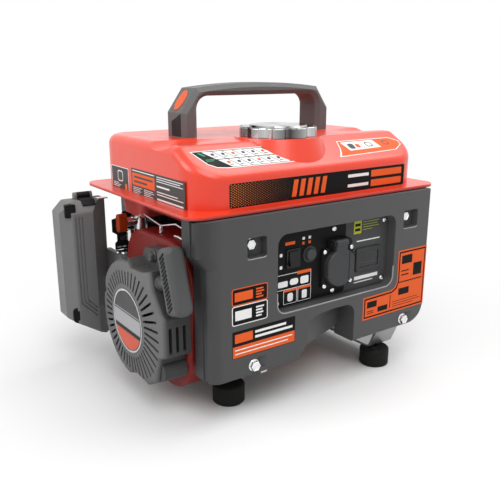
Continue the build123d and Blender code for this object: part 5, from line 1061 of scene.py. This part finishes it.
def add_governor():
    """Governor rod, its spring and a wire clip in the gap under the tank."""
    eye = (-127, -25, 194.5)
    rod = ((-120, 54, 184), (-126, 30, 196), (-128, 11, 200), eye, (-128, -60, 203), (-126, -104, 196))
    shape = bmesh.new()
    tube(shape, rod, 0.9)
    tube(shape, spring_points(eye, (-126, -22, 186), 1.6, 6), 0.4, sides=6)
    tube(shape, ((-126, -22, 188), (-126, -22, 184)), 0.9)
    tube(shape, ((-125, -52, 188.4), (-125, -60, 188.8), (-125, -68, 188.0)), 1.3)
    add_piece("governor_rod", shape, [zinc], "frame", smooth=True)


def add_control_bracket():
    """Black bracket over the carburettor, held by a tab on the rear cover's edge."""
    plate, bright, boss = range(3)
    front = surface((0, fitting_y, 0), right, up)
    edge = [(-128, 138.8), (-105.5, 138.8), (-105.5, 187), (-116, 187), (-119, 181)]
    edge += [(-131, 178), (-131, 162), (-125, 158), (-125, 150), (-128, 147)]
    tab = surface((0, bracket_tab_y, 0), right, up)
    shape = bmesh.new()
    slab(shape, front, edge, 0, 1.5, plate)
    slab(shape, front, rounded(-128, 166, -121, 173, 3.4), 1.4, 3.6, bright)
    slab(shape, front, rounded(-126, 141.5, -108, 143.5, 0.9), 1.4, 2.6, bright)
    slab(shape, front, rounded(-121, 151, -109, 156, 1.5), 1.4, 4.0, boss)
    slab(shape, tab, rounded(-107, 150, -102.2, 166, 1.0), 0, 5.7, plate)
    add_piece("control_bracket", shape, [matt_black, zinc, lid_grey], "frame")


def add_fuel_cup():
    """Bright sediment cup under the fuel valve's outer end."""
    low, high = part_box("fuel_valve")
    place = Vector((low[0] / mm + 5.5, (low[1] + high[1]) / 2 / mm, low[2] / mm))
    bowl = ((2.4, -15.5), (3.9, -14.6), (4.9, -12), (5.0, -6), (4.4, -3.4))
    nut = ((5.4, -3.0), (5.4, 0.6), (4.6, 1.0))
    cup = copies("fuel_cup", [place], turned("cup_model", bowl + nut, 32, Matrix.Identity(4)), chrome)
    settle(cup, chrome, "frame", "bright_steel")


def add_filter_hooks():
    """Black latches that hold the filter cover, and the steel strap beside its clip."""
    latch, steel = range(2)
    front = surface((0, fitting_y, 0), right, up)
    top = surface((0, 0, strap_foot_z), right, rear)
    shape = bmesh.new()
    slab(shape, front, rounded(-192.5, 189.5, -179.5, 205.0, 1.6), 8.6, 11.5, latch)
    slab(shape, front, rounded(-191.5, 196.5, -180.5, 204.6, 1.4), 6.5, 9.0, latch)
    slab(shape, front, rounded(-191.0, 201.2, -181.0, 204.6, 1.2), 3.4, 9.0, latch)
    slab(shape, front, rounded(-191.5, 57.0, -179.5, 76.5, 5.2), 8.6, 11.0, latch)
    slab(shape, front, rounded(-189.5, 60.5, -181.5, 72.5, 3.2), 8.6, 12.2, latch)
    slab(shape, top, rounded(-148.0, 99.5, -134.5, 107.0, 1.0), 0, 1.4, steel)
    add_piece("filter_hooks", shape, [matt_black, zinc], "frame")


def add_grip_collar():
    """Thick sleeve with a ring, round the grip's neck."""
    way = Matrix.Rotation(math.radians(90) - rope_angle, 4, "X")
    profile = ((4.7, 77.7), (8.0, 78.1), (8.0, 80.6), (6.7, 81.4), (6.5, 88), (7.0, 95.6), (4.7, 96))
    collar = copies("grip_collar", [rope_start], turned("collar_model", profile, 32, way), grip_grey)
    settle(collar, grip_grey, "starter_grip", "grey_plastic")


def add_grip_ribs():
    """Slanted finger ribs in a narrow panel along the grip's outer side."""
    along = Vector((0, math.sin(rope_angle), math.cos(rope_angle)))
    outer = grip_centre + Vector((-grip_half_width, 0, 0))
    spot = (Vector((0, 0, 0)), rope_way, along)
    rib = bmesh.new()
    slab(rib, spot, [(4.4, 1.2), (4.4, 3.4), (-4.4, -1.2), (-4.4, -3.4)], -0.5, 0.6)
    model = new_object("rib_model", rib)
    spots = [outer + along * step for step in range(-26, 30, 4)]
    settle(copies("grip_ribs", spots, model, matt_black), matt_black, "starter_grip", "grey_plastic")


def add_edge_highlights():
    """Painted highlights: bright tubes along the lower edges of the control recess and the bolt pockets,
    where their bevels catch the light.
    """
    rim_radius = 0.8
    sill_radius = 0.6
    steps = 10
    shape = bmesh.new()
    left, low, far, high = recess
    outline = rounded(left, low, far, high, recess_corner, steps)
    side_top = low + 2 * recess_corner
    rim = [(left, side_top)] + outline[:2 * (steps + 1)] + [(far, side_top)]
    tube(shape, [(x, cover_face_y + rim_radius / 2, z) for x, z in rim], rim_radius)
    left, low, far, high = pocket_reach
    for side in (1, -1):
        y = side * (cover_face_y + sill_radius / 2)
        for x in bolt_columns:
            outline = rounded(x + left, upper_bolt_z + low, x + far, upper_bolt_z + high, pocket_corner)
            # The lower side and the nearer half of both its corners
            sill = outline[2:10]
            tube(shape, [(u, y, z) for u, z in sill], sill_radius)
    add_piece("cover_edges", shape, [edge_highlight_grey], "frame", smooth=True)


def add_handle_shade_panels():
    """Painted shade: dark slanted panels on the outer sides of the handle's legs, where their sides fall in
    shadow.
    """
    x, y = handle_middle
    foot = 285
    front_top = 310.6
    back_top = 301
    shape = bmesh.new()
    for side in (-1, 1):
        spot = surface((x + side * handle_half, y, 0), rear * side, up)
        front = -14.8 * side
        back = 6.5 * side
        points = [(front, foot), (back, foot), (back, back_top), (front, front_top)]
        slab(shape, spot, points if side > 0 else points[::-1], -0.1, 0.15)
    add_piece("handle_panels", shape, [handle_painted_shade], "frame")


set_camera()
set_world()
bpy.context.scene.view_settings.view_transform = "Standard"
add_lamp("key", place=(-0.5, -1.1, 1.7), aim=(0, 0, 0.15), size=1.4, power=17)
add_lamp("left", place=(-1.6, 0.3, 1.1), aim=(0, 0, 0.15), size=1.2, power=14)
add_lamp("top", place=(0.6, -0.2, 1.6), aim=(0, 0, 0.25), size=1.6, power=17)
add_floor()
paint_nodes()
add_tank_strip()
add_cover_boxes()
add_cover_bands()
add_cover_corner()
add_panel_print()
add_slope_guide()
add_slope_card()
add_side_card()
add_side_data()
add_strip_dots()
add_badge()
add_bolts()
add_screws()
add_pull_cord()
add_fuel_line()
add_governor()
add_control_bracket()
add_fuel_cup()
add_filter_hooks()
add_grip_collar()
add_grip_ribs()
add_edge_highlights()
add_handle_shade_panels()
add_meter_face()
